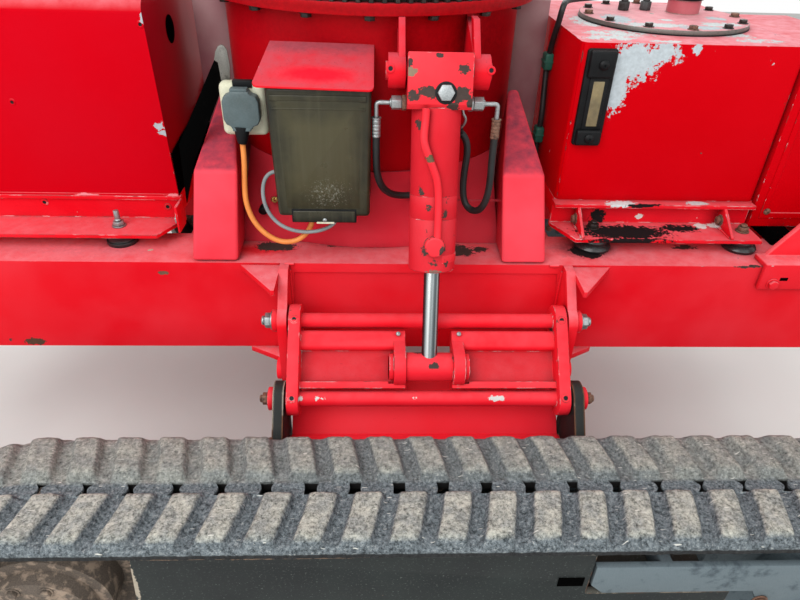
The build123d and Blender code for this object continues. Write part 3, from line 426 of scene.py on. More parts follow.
# Moulded rubber and plastic: dull skin, dust on top, scuffs, fine moulded grain.
def makeMoulded(name, look):
    material, tree, shader = startMaterial(name)
    where = addNode(tree, "ShaderNodeTexCoord").outputs
    up = addNode(tree, "ShaderNodeSeparateXYZ", [where["Normal"]]).outputs["Z"]
    cloud = noise(tree, where["Object"], 30, 5)
    grain = noise(tree, where["Object"], look["grain"], 2)
    colour = tinge(tree, span(tree, cloud, 0.35, 0.65, 0, 1), look["colour"], look["other"])
    dust = span(tree, grain, 0.42, 0.7, 0, look["dust"])
    dust = reckon(tree, "MULTIPLY", span(tree, up, -0.2, 1, 0.15, 1), dust)
    fill(shader, {"Base Color": tinge(tree, dust, colour, look["dustColour"]),
                  "Roughness": span(tree, cloud, 0.3, 0.7, look["rough"], look["rough"] + 0.15),
                  "Coat Weight": look.get("coat", 0), "Specular IOR Level": look.get("shine", 0.4),
                  "Normal": bump(tree, 0.25, 0.0003, grain)})
    return material


redLook = {
    "colour": "#e00f20", "faded": "#e6222e", "dustColour": "#df7f88", "dust": 0.6, "dirtAndShade": "#3c1416",
    "specks": 0.42, "speckFrom": 0.60, "speckBase": 0.12, "grimeAndShade": 0.75,
    "edgeWidth": 2.2, "edgeWear": 0.10, "chipFrom": 0.735,
    "steel": "#4c423e", "primer": "#c4c6c6", "rough": 0.4, "shine": 0.07,
}
chipDark, chipPale, oilBlack, primerGrey = "#4a3f3b", "#d8d6d2", "#1c1718", "#b9c3c8"
beamPaint = makePaint("enamelRedBeam", dict(
    redLook, colour="#e61322", faded="#e92a36", dustColour="#ee949c", dust=0.68), [
    ((450, -326, 620), (26, 14, 12), oilBlack, 30), ((430, -312, 620), (22, 18, 12), oilBlack, 24),
    ((658, -291, 620), (24, 8, 8), chipDark, 26), ((771, -368, 620), (12, 5, 5), chipDark, 16),
    ((748, -370, 620), (18, 3, 5), chipDark, 16), ((-441, -323, 620), (5, 4, 6), "#c9b8a4", 10),
    ((178, -313, 620), (34, 23, 10), chipDark, 14), ((224, -308, 620), (13, 9, 10), chipDark, 12),
    ((-196, -304, 620), (40, 20, 10), chipDark, 16), ((-82, -290, 620), (11, 11, 10), "#6b4a44", 12),
    ((-700, -371, 426), (20, 8, 9), "#5a4032", 12), ((-406, -371, 596), (9, 8, 4), "#7a5a4a", 8),
], [
    # a pale patch on the left of the beam top, part dust and part painted light; a dusky strip behind it; a
    # clean patch; a dark patch by the rubber foot
    ((-560, -318, 620), (190, 30, 8), "#ee7680", 60), ((-560, -262, 620), (170, 16, 8), "#a2575c", 30),
    ((-224, -318, 620), (64, 22, 12), "#e60f20", 20), ((440, -300, 620), (60, 40, 12), "#5a1c22", 30),
])
pedestalPaint = makePaint("enamelRedPedestal", dict(
    redLook, colour="#dc0e1f", faded="#e01e2c", dustColour="#bd5561", dust=0.8, specks=0.6), [
    ((-66, -284, 640), (10, 14, 12), chipDark, 12),
], [
    ((-88, -304, 1010), (120, 26, 14), "#a04a55", 30), ((-90, -369, 977), (66, 22, 16), "#f5102b", 8),
])
# Drum: a darker red as painted shade for the drum lying under the ring; painted shade also darkens it below the
# flange and on its right; a near-black band at the flange
drumShadePaint = makePaint("enamelRedDrumShaded", dict(
    redLook, colour="#b80612", faded="#c20a18", dustColour="#8c3a42", dust=0.8, grimeAndShade=0.9), [], [
    ((0, 0, 1070), (352, 352, 15), "#24100f", 10), ((0, 0, 1030), (330, 330, 46), "#8e0712", 10),
    ((225, -200, 930), (110, 120, 130), "#7c040b", 20),
])
pillarPaint = makePaint("enamelRedPillars", dict(
    redLook, colour="#f83d4c", faded="#fb4f5e", dustColour="#7c3848", dust=1.0, specks=0.6))
skirtPaint = makePaint("enamelRedSkirt", dict(
    redLook, colour="#cf2636", faded="#d63a48", dustColour="#b8505c", dust=0.8, specks=0.75))
wallPaint = makePaint("dustedRedWall", dict(
    redLook, colour="#8e5a62", faded="#a98a8a", dustColour="#b5a5a2", dust=0.6, specks=0.4))
linkPaint = makePaint("enamelRedLinkage", dict(
    redLook, colour="#ea1626", faded="#f02836", dust=0.22, specks=0.35, edgeWear=0.2, chipFrom=0.70,
    edgeWidth=3), [
    ((-96, -560, 440), (13, 7, 6), chipPale, 10), ((84, -560, 441), (6, 7, 6), chipPale, 8),
    ((240, -559, 441), (18, 8, 7), chipPale, 12), ((-128, -560, 439), (8, 7, 5), chipPale, 10),
    ((92, -500, 505), (8, 8, 6), chipDark, 10), ((160, -520, 500), (9, 9, 7), chipDark, 10),
    ((118, -536, 498), (9, 9, 6), chipDark, 10), ((352, -446, 520), (5, 10, 8), chipDark, 8),
])
# Hollows of the swing arm: a darker copy of the link paint, painted shade below the rims
pocketShadePaint = makePaint("enamelRedArmHollowsShaded", dict(
    redLook, colour="#c80f1d", faded="#cf1826", dust=0.25, specks=0.4, edgeWear=0.1, grimeAndShade=0.9), [
    ((-44, -480, 470), (5, 8, 5), chipPale, 6), ((-76, -470, 478), (4, 8, 4), chipPale, 6),
])
# Lower link: a brighter copy of the red, painted light making up for the shade it lies in
linkLightPaint = makePaint("enamelRedLinkPaintedLight", dict(
    redLook, colour="#ff1f30", faded="#ff2c3c", dust=0.05, specks=0.2, edgeWear=0.06, grimeAndShade=0.4))
cylinderLook = dict(redLook, dust=0.3, specks=0.3, edgeWear=0.2, chipFrom=0.70, edgeWidth=3)
cylinderChips = [
    ((90, -418, 966), (16, 12, 8), chipDark, 20), ((146, -418, 962), (18, 12, 11), chipDark, 22),
    ((66, -418, 960), (9, 12, 8), chipDark, 14), ((132, -420, 944), (12, 12, 6), chipDark, 14),
    ((64, -414, 996), (10, 12, 8), "#8f7a66", 14), ((62, -412, 1008), (6, 12, 7), chipDark, 10),
    ((148, -412, 1001), (9, 12, 7), chipDark, 14), ((108, -402, 1017), (5, 12, 4), chipDark, 10),
    ((160, -418, 950), (7, 12, 7), chipDark, 10), ((80, -415, 912), (8, 12, 7), chipDark, 10),
    ((97, -452, 868), (8, 9, 6), "#6b5a44", 8), ((84, -458, 812), (6, 12, 7), chipDark, 9),
    ((96, -474, 788), (7, 12, 7), chipDark, 9), ((134, -470, 800), (10, 12, 7), chipDark, 10),
    ((127, -476, 778), (6, 12, 12), chipDark, 10), ((98, -488, 748), (5, 12, 8), chipDark, 9),
    ((126, -494, 722), (10, 14, 10), chipDark, 14), ((92, -494, 716), (8, 14, 9), chipDark, 12),
    ((110, -505, 696), (14, 12, 7), chipDark, 14), ((80, -500, 690), (10, 14, 7), chipDark, 14),
    ((136, -500, 694), (12, 14, 8), chipDark, 14), ((104, -508, 680), (30, 12, 5), "#8a6a60", 20),
]
# the tube takes a darker copy of the cylinder paint, painted shade
cylinderPaint, tubeShadePaint = (
    makePaint(name, dict(cylinderLook, colour=colour, faded=faded), cylinderChips)
    for name, colour, faded in (("enamelRedCylinder", "#e62632", "#f03842"),
                                ("enamelRedTubeShaded", "#cf1c28", "#d92a36")))
# the cover's right-facing wall takes a darker copy of its red, painted shade
coverWallShadePaint = makePaint("enamelRedCoverWallShaded", dict(
    redLook, colour="#9a0717", faded="#a50c1d", dust=0.5, specks=0.15, grimeAndShade=0.5))
coverPaint = makePaint("enamelRedCover", dict(
    redLook, colour="#ca0215", faded="#c8061a", dustColour="#ef8f98", shine=0.02, dust=0.75, specks=0.15,
    grimeAndShade=0.35, edgeWear=0.12, chipFrom=0.74), [
    ((-402, -250, 847), (9, 6, 9), primerGrey, 14), ((-392, -250, 834), (13, 8, 5), primerGrey, 10),
    ((-392, -250, 1036), (6, 8, 11), primerGrey, 12), ((-572, -252, 704), (26, 5, 4), "#e98f96", 14),
    ((-398, -252, 700), (20, 5, 9), "#e98f96", 14),
])
tankPaint = makePaint("enamelRedTank", dict(
    redLook, colour="#c6000c", faded="#ca0210", dustColour="#ecaab2", shine=0.02, dust=0.9, specks=0.2,
    grimeAndShade=0.45, edgeWear=0.16, chipFrom=0.70, primer="#ccd3d6"), [
    ((479, -247, 978), (46, 8, 40), primerGrey, 34), ((529, -247, 994), (36, 8, 19), primerGrey, 30),
    ((459, -247, 933), (21, 8, 46), primerGrey, 20), ((592, -247, 1004), (9, 8, 9), primerGrey, 8),
    ((446, -200, 1012), (50, 24, 6), "#cdd2d2", 50), ((700, -150, 1012), (40, 20, 6), "#cdd2d2", 50),
    ((470, -160, 1012), (60, 34, 6), "#cdd2d2", 60), ((540, -224, 1012), (30, 10, 6), "#cdd2d2", 40),
    ((728, -200, 1012), (46, 16, 6), "#c9cfcf", 50), ((447, -30, 1012), (30, 60, 6), "#d2d6d6", 60),
    ((646, 38, 1023), (54, 30, 6), "#cdd2d2", 70), ((563, -56, 1023), (30, 22, 6), "#cdd2d2", 60),
])
lidPaint = makePaint("wornRedTankLid", dict(
    redLook, colour="#b4525a", faded="#c4767c", dustColour="#ecb0b6", dust=0.8, specks=0.3, edgeWear=0.5,
    chipFrom=0.66, edgeWidth=5, steel="#77726a", primer="#a8a49c"), [
    ((500, -60, 1023), (30, 50, 8), primerGrey, 30), ((560, -120, 1023), (60, 24, 8), "#cdd2d2", 40),
    ((640, -140, 1023), (44, 20, 8), primerGrey, 30), ((700, -100, 1023), (40, 24, 8), "#cdd2d2", 30),
    ((600, -60, 1023), (16, 12, 6), "#cdd2d2", 20), ((720, -30, 1023), (20, 20, 6), primerGrey, 30),
])
railPaint = makePaint("enamelRedRails", dict(
    redLook, colour="#dc0a1d", faded="#e31f2e", dust=0.5, specks=0.3, edgeWear=0.26, chipFrom=0.70,
    edgeWidth=3), [
    ((520, -296, 656), (92, 30, 8), oilBlack, 20), ((646, -276, 656), (44, 16, 5), oilBlack, 26),
    ((520, -328, 652), (84, 4, 9), oilBlack, 20), ((474, -250, 668), (16, 6, 18), oilBlack, 24),
    ((564, -251, 671), (9, 6, 6), chipPale, 8), ((694, -264, 656), (13, 12, 5), chipPale, 10),
    ((722, -262, 656), (12, 9, 5), chipPale, 10), ((514, -262, 705), (30, 12, 5), "#d2dada", 12),
    ((676, -258, 705), (22, 10, 5), "#c9cfcf", 12), ((560, -268, 705), (34, 5, 5), oilBlack, 16),
])
blackPaint = makePaint("enamelBlackFrame", {
    "colour": "#171c1d", "faded": "#222928", "dustColour": "#6f6a60", "dust": 0.75, "dirtAndShade": "#8b908c",
    "specks": 0.9, "speckFrom": 0.58, "speckBase": 0.6, "grimeAndShade": 0.1, "edgeWidth": 2.5, "edgeWear": 0.22,
    "chipFrom": 0.70, "steel": "#6a4a38", "primer": "#a0917f", "rough": 0.62, "shine": 0.3,
}, [
    ((-180, -852, 384), (190, 10, 4), "#7d6756", 8), ((600, -852, 384), (90, 14, 6), "#8a6454", 12),
    ((-366, -852, 330), (5, 10, 60), "#b0a594", 8),
])
earPaint = makePaint("enamelBlackEars", {
    "colour": "#111516", "faded": "#1b2020", "dustColour": "#4f4a44", "dust": 0.25, "dirtAndShade": "#8a7566",
    "specks": 0.3, "speckFrom": 0.60, "speckBase": 0.3, "grimeAndShade": 0.1, "edgeWidth": 6, "edgeWear": 0.6,
    "chipFrom": 0.70, "steel": "#7a5038", "primer": "#c0b4a4", "rough": 0.6, "shine": 0.2,
})
greasySteel = makeSteel("greasedRingSteel", {
    "colour": "#4a4440", "other": "#2c2724", "stain": "#1b1412", "stainScale": 34, "stainFrom": 0.45,
    "grimeAndShade": 0.8, "rough": 0.3, "metal": 0.6, "bump": 0.5})
zincSteel = makeSteel("zincPlatedSteel", {
    "colour": "#a9aeaf", "other": "#8a9091", "stain": "#6f665c", "stainScale": 90, "stainFrom": 0.60,
    "grimeAndShade": 0.8, "rough": 0.32, "metal": 0.75, "bump": 0.2})
rustySteel = makeSteel("rustedSteel", {
    "colour": "#6b4a3c", "other": "#8a6a57", "stain": "#3a2620", "stainScale": 120, "stainFrom": 0.52,
    "grimeAndShade": 0.8, "rough": 0.6, "metal": 0.3, "bump": 0.6})


# Hard chrome on a ground rod: a painted reflection in bands across the rod, picked by which way the surface
# faces, an oil film dragged into streaks along the stroke, fine grinding marks.
def makeChrome(name, look):
    material, tree, shader = startMaterial(name)
    where = addNode(tree, "ShaderNodeTexCoord").outputs
    side = addNode(tree, "ShaderNodeSeparateXYZ", [where["Normal"]]).outputs["X"]
    # painted reflection: a colour ramp read off the normal's X stands in for the surroundings mirrored in the
    # chrome
    paintedReflection = addNode(tree, "ShaderNodeValToRGB", [span(tree, side, -1, 1, 0, 1)])
    for index, (place, tone) in enumerate(look["paintedReflection"]):
        mark = paintedReflection.color_ramp.elements[index] if index < 2 else paintedReflection.color_ramp.elements.new(place)
        mark.position, mark.color = place, toLinear(tone)
    along = addNode(tree, "ShaderNodeMapping", {"Vector": where["Object"], "Scale": (900, 25, 8)}).outputs[0]
    streak = noise(tree, along, 1, 3)
    thin = span(tree, streak, 0.4, 0.65, 0, look["streaks"])
    fill(shader, {"Base Color": tinge(tree, thin, paintedReflection.outputs[0], look["dark"]), "Metallic": 0.8,
                  "Roughness": span(tree, streak, 0.3, 0.7, 0.16, 0.34),
                  "Normal": bump(tree, 0.05, 0.0002, streak)})
    return material


chromeSteel = makeChrome("hardChromeRod", {
    "paintedReflection": [(0.0, "#26292b"), (1.0, "#2b2e30"), (0.14, "#4c5254"), (0.24, "#c7cfcf"), (0.36, "#eef2f1"),
             (0.44, "#8d9697"), (0.54, "#a9b2b3"), (0.62, "#5b6264"), (0.72, "#3f4547"), (0.82, "#aab3b3"),
             (0.9, "#585f61")],
    "streaks": 0.4, "dark": "#596062",
})
muddySteel = makeSteel("muddyRunningGear", {
    "colour": "#4c443d", "other": "#6d6156", "stain": "#9a8877", "stainScale": 46, "stainFrom": 0.50,
    "grimeAndShade": 0.6, "rough": 0.7, "metal": 0.05, "bump": 0.9})
forkSteel = makeSteel("blueGreyFork", {
    "colour": "#5f6c72", "other": "#6c7a80", "stain": "#47535a", "stainScale": 30, "stainFrom": 0.55,
    "grimeAndShade": 0.6, "rough": 0.55, "metal": 0.15, "bump": 0.35})
engineIron = makeSteel("castEngineIron", {
    "colour": "#3b3d3d", "other": "#4d5050", "stain": "#241f1c", "stainScale": 20, "stainFrom": 0.5,
    "grimeAndShade": 0.7, "rough": 0.6, "metal": 0.3, "bump": 0.7})
# Near-black with no shine, painted shade: coats the guard plate, the cover's side wall and hole, slots, and
# hidden rail ends
shadeBlack = makeSteel("paintedShadeBlack", {
    "colour": "#040404", "other": "#070707", "stain": "#0c0b0b", "stainScale": 20, "stainFrom": 0.6,
    "grimeAndShade": 0.3, "rough": 1.0, "metal": 0.0, "bump": 0.2, "shine": 0.0})
bareEdge = makeSteel("bareEdgeSteel", {
    "colour": "#7f7d78", "other": "#6b6964", "stain": "#45423d", "stainScale": 60, "stainFrom": 0.58,
    "grimeAndShade": 0.5, "rough": 0.4, "metal": 0.7, "bump": 0.3})
brass = makeSteel("brassFitting", {
    "colour": "#b0924e", "other": "#8d7440", "stain": "#4f4430", "stainScale": 120, "stainFrom": 0.6,
    "grimeAndShade": 0.7, "rough": 0.35, "metal": 0.8, "bump": 0.2})
mountRubber = makeMoulded("blackMountRubber", {
    "colour": "#0e0f10", "other": "#191b1d", "dustColour": "#4d5254", "dust": 0.4, "grain": 500, "rough": 0.4,
    "coat": 0.3})
hoseRubber = makeMoulded("blackHoseRubber", {
    "colour": "#121415", "other": "#1c1f20", "dustColour": "#4a4c4a", "dust": 0.3, "grain": 900, "rough": 0.42})
orangeJacket = makeMoulded("orangeCableJacket", {
    "colour": "#ee9146", "other": "#e0843c", "dustColour": "#6b5a48", "dust": 0.25, "grain": 300, "rough": 0.45})
greyJacket = makeMoulded("greyCableJacket", {
    "colour": "#8e9496", "other": "#7d8385", "dustColour": "#4f4c48", "dust": 0.3, "grain": 300, "rough": 0.48})
ivoryPlastic = makeMoulded("ivorySocketPlastic", {
    "colour": "#dcdcc6", "other": "#cfcfb4", "dustColour": "#8c8468", "dust": 0.35, "grain": 260, "rough": 0.42})
plugPlastic = makeMoulded("greyPlugPlastic", {
    "colour": "#4b5859", "other": "#536265", "dustColour": "#85908f", "dust": 0.3, "grain": 420, "rough": 0.4})
amberPlastic = makeMoulded("amberGaugeWindow", {
    "colour": "#8a7c58", "other": "#5e5540", "dustColour": "#a8a08c", "dust": 0.3, "grain": 300, "rough": 0.3})
blackPlastic = makeMoulded("blackNylon", {
    "colour": "#0c0d0f", "other": "#141618", "dustColour": "#5b5e5c", "dust": 0.12, "grain": 500, "rough": 0.4,
    "shine": 0.15})
greenPlastic = makeMoulded("greenPipeClip", {
    "colour": "#0d4a3c", "other": "#135c4b", "dustColour": "#5a6b62", "dust": 0.3, "grain": 400, "rough": 0.4})


# Smoked polycarbonate: brown in the middle, darker to near black towards the rim, scuffed pale low down.
def makeSmoked(name, look):
    material, tree, shader = startMaterial(name)
    spot = addNode(tree, "ShaderNodeTexCoord").outputs["Object"]
    away = reckonVector(tree, "SUBTRACT", spot, at(*look["middle"]))
    away = reckonVector(tree, "DIVIDE", away, at(*look["reach"]))
    away = addNode(tree, "ShaderNodeSeparateXYZ", [reckonVector(tree, "ABSOLUTE", away)]).outputs
    cloud = noise(tree, spot, 22, 6, 0.6)
    away = reckon(tree, "MULTIPLY_ADD", cloud, 0.7, reckon(tree, "MAXIMUM", away["X"], away["Z"]))
    colour = tinge(tree, span(tree, away, 0.75, 1.35, 0, 1), look["colour"], look["rim"])
    # wash marks run down it, 8 mm wide
    down = addNode(tree, "ShaderNodeMapping", {"Vector": spot, "Scale": (120, 120, 8)}).outputs[0]
    colour = tinge(tree, span(tree, noise(tree, down, 1, 5), 0.45, 0.75, 0, 0.22), colour, look["wash"])
    # scuffs of 1 to 5 mm over the lower middle
    grit = noise(tree, spot, 300, 6, 0.8)
    low = reckonVector(tree, "SUBTRACT", spot, at(*look["scuffs"]))
    low = reckonVector(tree, "DIVIDE", low, at(*look["scuffReach"]))
    low = span(tree, reckonVector(tree, "LENGTH", low, output="Value"), 0.3, 1.3, 0.52, 0.72)
    scuff = span(tree, reckon(tree, "SUBTRACT", grit, low), 0, 0.06, 0, 0.5)
    fill(shader, {"Base Color": tinge(tree, scuff, colour, look["pale"]), "Specular IOR Level": 0.3,
                  "Roughness": span(tree, cloud, 0.3, 0.7, 0.26, 0.44),
                  "Normal": bump(tree, 0.08, 0.0003, grit)})
    return material


smokedPlastic = makeSmoked("smokedPolycarbonate", {
    "middle": (-86, -390, 846), "reach": (92, 60, 122), "scuffs": (-76, -390, 778), "scuffReach": (62, 40, 44),
    "colour": "#48442f", "rim": "#1d1e17", "wash": "#5a5745", "pale": "#9a9c90"})
print("finishes mixed")

# Cords: hoses bend between the barrel and the pedestal, cables ride on the chassis
cordPoints = {  # the route points of the drawing, in mm
    "orangeCable": [(-227, -347, 859), (-227, -347, 822), (-231, -352, 782), (-232, -358, 742),
                    (-221, -362, 706), (-199, -365, 679), (-170, -367, 664), (-139, -366, 668),
                    (-117, -363, 688), (-109, -360, 713), (-109, -360, 733)],
    "greyCable": [(-166, -360, 805), (-176, -360, 805), (-189, -364, 797), (-196, -368, 778),
                  (-196, -372, 752), (-187, -375, 726), (-168, -377, 705), (-140, -377, 693),
                  (-106, -375, 691), (-76, -371, 700), (-62, -368, 716), (-62, -368, 733)],
    "hoseLeft": [(9, -379.2, 879.1), (9, -379.2, 842), (11, -376.2, 806), (21, -365.2, 777),
                 (39, -347.2, 757), (62, -329.2, 747), (73, -322, 745), (90.7, -322, 745)],
    "hoseRight": [(213, -379.2, 879.1), (213, -379.2, 842), (214, -381.2, 802), (212, -379.2, 764),
                  (203, -370.2, 737), (188, -354.2, 729), (176, -341.2, 741), (172, -336.2, 769),
                  (173, -334.2, 804), (176, -332.2, 836), (172, -327.2, 860), (155, -322, 874),
                  (131.3, -322, 874)],
}


def layCord(name, points, diameter, material):
    curve = bpy.data.curves.new(name, "CURVE")
    curve.dimensions = "3D"
    spline = curve.splines.new("NURBS")
    spline.points.add(len(points) - 1)
    for knot, point in zip(spline.points, points):
        knot.co = (*at(*point), 1)
    spline.order_u = 3
    spline.use_endpoint_u = True
    spline.resolution_u = 10
    piece = bpy.data.objects.new(name, curve)
    bpy.context.scene.collection.objects.link(piece)
    line = bpy.data.meshes.new_from_object(piece)
    path = [tuple(vertex.co) for vertex in line.vertices]
    length = sum(math.dist(a, b) for a, b in zip(path, path[1:]))
    curve.bevel_depth = diameter / 2 * mm
    curve.bevel_resolution = 5
    curve.use_fill_caps = True
    curve.materials.append(material)
    return piece, path, length


def newPipe(name, points, diameter, material):  # the same as a mesh
    curve, path, length = layCord(name + "Line", points, diameter, material)
    pipe = bpy.data.objects.new(name, bpy.data.meshes.new_from_object(curve))
    bpy.context.scene.collection.objects.link(pipe)
    scrap(curve)
    return coat(pipe, material), path, length


hoseDiameter = 13
for colour, diameter, material in (("orange", 10, orangeJacket), ("grey", 7, greyJacket)):
    cable, path, length = layCord(colour + "Cable", cordPoints[colour + "Cable"], diameter, material)
    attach(cable, "chassis")
    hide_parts(colour + "_cable")
for side, mirror in (("near", 1), ("far", -1)):
    for name, node in (("hoseLeft", "hose_left_"), ("hoseRight", "hose_right_")):
        route = [(x, y * mirror, z) for x, y, z in cordPoints[name]]
        hose, path, length = newPipe(name + side.title(), route, hoseDiameter, hoseRubber)
        shade(hose)
        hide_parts(node + side)
        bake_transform(hose)
print("cords laid")

# Floor and light
deselect()
bpy.ops.mesh.primitive_plane_add(size=14, location=(0, 0, 0))
floor = bpy.context.object
floor.name = "floor"
material, tree, shader = startMaterial("paleFloor")
mottle = noise(tree, addNode(tree, "ShaderNodeTexCoord").outputs["Object"], 3, 6)
fill(shader, {"Base Color": tinge(tree, mottle, "#d6d5d2", "#e2e1de"), "Roughness": 0.8})
coat(floor, material)

world = bpy.data.worlds.new("studio")
bpy.context.scene.world = world
world.use_nodes = True
sky = world.node_tree
rays = addNode(sky, "ShaderNodeLightPath").outputs
seen = reckon(sky, "MAXIMUM", rays["Is Camera Ray"], rays["Is Glossy Ray"])
seen = reckon(sky, "MAXIMUM", seen, rays["Is Transmission Ray"])
fill(sky.nodes["Background"], {"Color": (1, 1, 1, 1), "Strength": span(sky, seen, 0, 1, 0.62, 1)})
lamps = {  # place and aim in mm, size in metres, watts
    "keyLamp": ((-1300, -2700, 3000), (0, -300, 500), 2.8, 109),
    "fillLamp": ((2000, -2600, 2200), (0, 0, 600), 2.4, 18),
    "backLamp": ((600, 2600, 2600), (0, 0, 700), 2.4, 60),
}
for name, (place, target, size, watts) in lamps.items():
    lamp = bpy.data.objects.new(name, bpy.data.lights.new(name, "AREA"))
    bpy.context.scene.collection.objects.link(lamp)
    lamp.data.size, lamp.data.energy = size, watts
    lamp.location = at(*place)
    lamp.rotation_euler = (at(*place) - at(*target)).to_track_quat("Z", "Y").to_euler()
print("floor and light set")

# Places of the drawing that several pieces share
linkX = 111  # middle of the lift linkage
hinge = Vector((linkX, -365, 985))  # middle of the near cylinder's hinge pin
stroke = Vector((0, -0.28474, -0.95860))  # the way its rod runs out
front = Vector((0, -0.95860, 0.28474))  # square to the stroke, away from the pedestal
sprocketX, idlerX, axleZ = -541, 755, 215.8
frameOutside, frameInside = -850, -650
beamTop = 620.5
lidX, lidY = 615, -2  # middle of the tank's lid

# Red weldments and sheet parts: the drawing's solids with softened edges
beams = refine("chassis_beams", "beams", beamPaint, "red_paint", 4, 3)
for vertex in beams.data.vertices:  # the hollow between the ears runs down behind the upper tube
    x, y, z = vertex.co / mm
    if 520 < z < 550 and 358 < abs(y) < 378 and abs(x - linkX) < 290:
        vertex.co.z -= 45 * mm
refine("cross_members", "crossMembers", beamPaint, "red_paint", 3)
refine("pivot_ears", "pivotEars", beamPaint, "red_paint", 1.5)
refine("slewing_ring_outer", "outerRing", greasySteel, "greasy_steel", 0.8)
refine("slewing_ring_inner", "innerRing", greasySteel, "bare_steel", 0.8)
refine("tank", "tankShell", tankPaint, "red_paint", 3)
lid = refine("tank_lid", "tankCover", lidPaint, "red_paint", 1)
coat(lid, bareEdge, lambda c, n: abs(n.z) < 0.6 and math.hypot(c.x - lidX, c.y - lidY) > 160)
refine("level_gauge", "gaugeBody", blackPlastic, "gauge_plastic", 3, 3)
refine("end_brackets", "endBrackets", beamPaint, "red_paint", 3, 3)
refine("support_rails", "supportRails", railPaint, "red_paint", 1)
# the cross rails' ends past x 820 are coated in the near-black painted shade
coat(refine("cross_rails", "crossRails", railPaint, "red_paint", 2), shadeBlack, lambda c, n: c.x > 820)
refine("rubber_mounts", "rubberFeet", mountRubber, "mount_rubber", 3)
engineCover = refine("left_cover", "engineCover", coverPaint, "red_paint", 1)
for vertex in engineCover.data.vertices:  # its top is 22 mm higher than drawn
    if vertex.co.z > 1018 * mm:
        vertex.co.z += 22 * mm
# painted shade: the right-facing wall is coated darker
coat(engineCover, coverWallShadePaint, lambda c, n: n.x > 0.8)
refine("engine_block", "engineCasting", engineIron, "engine_iron", 8, 3)
refine("side_box", "sideBox", tankPaint, "red_paint", 1.5)
# the guard plate is coated in the near-black painted shade of the gap between the cover and the pedestal
guard = newPlate("guardPlate", [(x, -308, z) for x, z in (
    (-267, 983), (-261, 979), (-256, 946), (-329, 799), (-357, 715), (-352, 833))], (0, 6, 0))
mount(coat(roundEdges(guard, 1), shadeBlack), "chassis", "guard_sheet", "guard_plate")
hoodSizes = {
    "edge": [(-183, -399), (-188.5, -397), (-191, -391.5), (-172, -298), (0, -296.5), (5, -296.5), (5, -391.5),
             (2.5, -397), (-3, -399)],
    "lip": 964, "rise": 0.48, "lean": 0.02, "thick": 3.6,
}
hoodEdge = [(x, y, hoodSizes["lip"] + hoodSizes["rise"] * (y + 399) - hoodSizes["lean"] * (x + 93))
            for x, y in hoodSizes["edge"]]
hood = newPlate("controlHood", hoodEdge, (0, 0, -hoodSizes["thick"]))
mount(coat(roundEdges(hood, 0.8), pedestalPaint), "chassis", "red_paint", "control_hood")


def onWeb(centre, normal):  # the upward faces of the swing arm that lie below its rims
    low = 0.7105 * abs(centre.y) + 0.7037 * centre.z < 686
    return normal.z > 0.6 and low and abs(centre.x - linkX) < 240


for side, mirror in (("near", 1), ("far", -1)):
    end = side.title()
    arm = refine("swing_arm_" + side, "swingArm" + end, linkPaint, "red_paint", 2)
    # painted shade: the hollows below the rims take the darker paint
    coat(arm, pocketShadePaint, onWeb)
    refine("lower_link_" + side, "lowerLink" + end, linkLightPaint, "bright_red_paint", 1.5)
    barrel = refine("cylinder_barrel_" + side, "liftBarrel" + end, cylinderPaint, "red_paint", 2)
    onSide = Vector((1, mirror, 1))
    for vertex in barrel.data.vertices:  # the head is 8 mm shorter above and 6 mm below than drawn
        drop = (vertex.co / mm - hinge * onSide).dot(stroke * onSide)
        if drop < -29 or 55 < drop < 72:
            vertex.co += stroke * onSide * (8 if drop < 0 else -6) * mm
    rod = refine("cylinder_rod_" + side, "liftRod" + end, chromeSteel, "chrome", 1)
    coat(rod, linkPaint, lambda c, n: math.hypot(abs(c.y) - 515, c.z - 480) < 40 and abs(c.x - linkX) < 46)
    coat(rod, linkPaint, lambda c, n: abs(c.x - linkX) > 46)
    refine("track_frame_" + side, "trackFrame" + end, blackPaint, "black_paint", 2)
    refine("track_ears_" + side, "trackEars" + end, earPaint, "black_paint", 2)
    refine("drive_sprocket_" + side, "driveSprocket" + end, muddySteel, "muddy_steel", 1)
    refine("idler_" + side, "idlerWheel" + end, forkSteel, "fork_steel", 2)
    refine("rollers_" + side, "trackRollers" + end, muddySteel, "muddy_steel", 2)
print("solids dressed")

# Pedestal: turned drum with its flange, flared skirt, four boxed pillars, cross walls behind the drum
pedestal = {
    "drum": [(286, 620.5), (298, 620.5), (298, 1060), (330, 1060), (330, 1080), (286, 1080)],
    "corners": {  # outer, back and top corners of a pillar
        (0, 0, 0): (258, -367, 620.5), (1, 0, 0): (347, -367, 620.5), (0, 1, 0): (262, -140, 620.5),
        (1, 1, 0): (318, -90, 620.5), (0, 0, 1): (237, -367, 808), (1, 0, 1): (316, -367, 808),
        (0, 1, 1): (276, -140, 900), (1, 1, 1): (297, -140, 901)},
    "skirtReach": 262, "skirtFoot": 282, "skirtBulge": 24, "skirtTop": 782, "skirtThick": 6,
    "wall": ((300, 10, 641), (376, 18, 1044)),
}
pillar = newBox("pillar", (0, 0, 0), (1, 1, 1))
for vertex in pillar.data.vertices:
    vertex.co = at(*pedestal["corners"][tuple(round(c / mm) for c in vertex.co)])
coat(roundEdges(pillar, 8, 5, 25), pillarPaint)
coat(pillar, skirtPaint, lambda c, n: n.x < -0.8)
wall = newBlock("pedestalWall", *pedestal["wall"], wallPaint, 1)
deselect()
bpy.ops.mesh.primitive_grid_add(x_subdivisions=36, y_subdivisions=8, size=1)
skirt = bpy.context.object
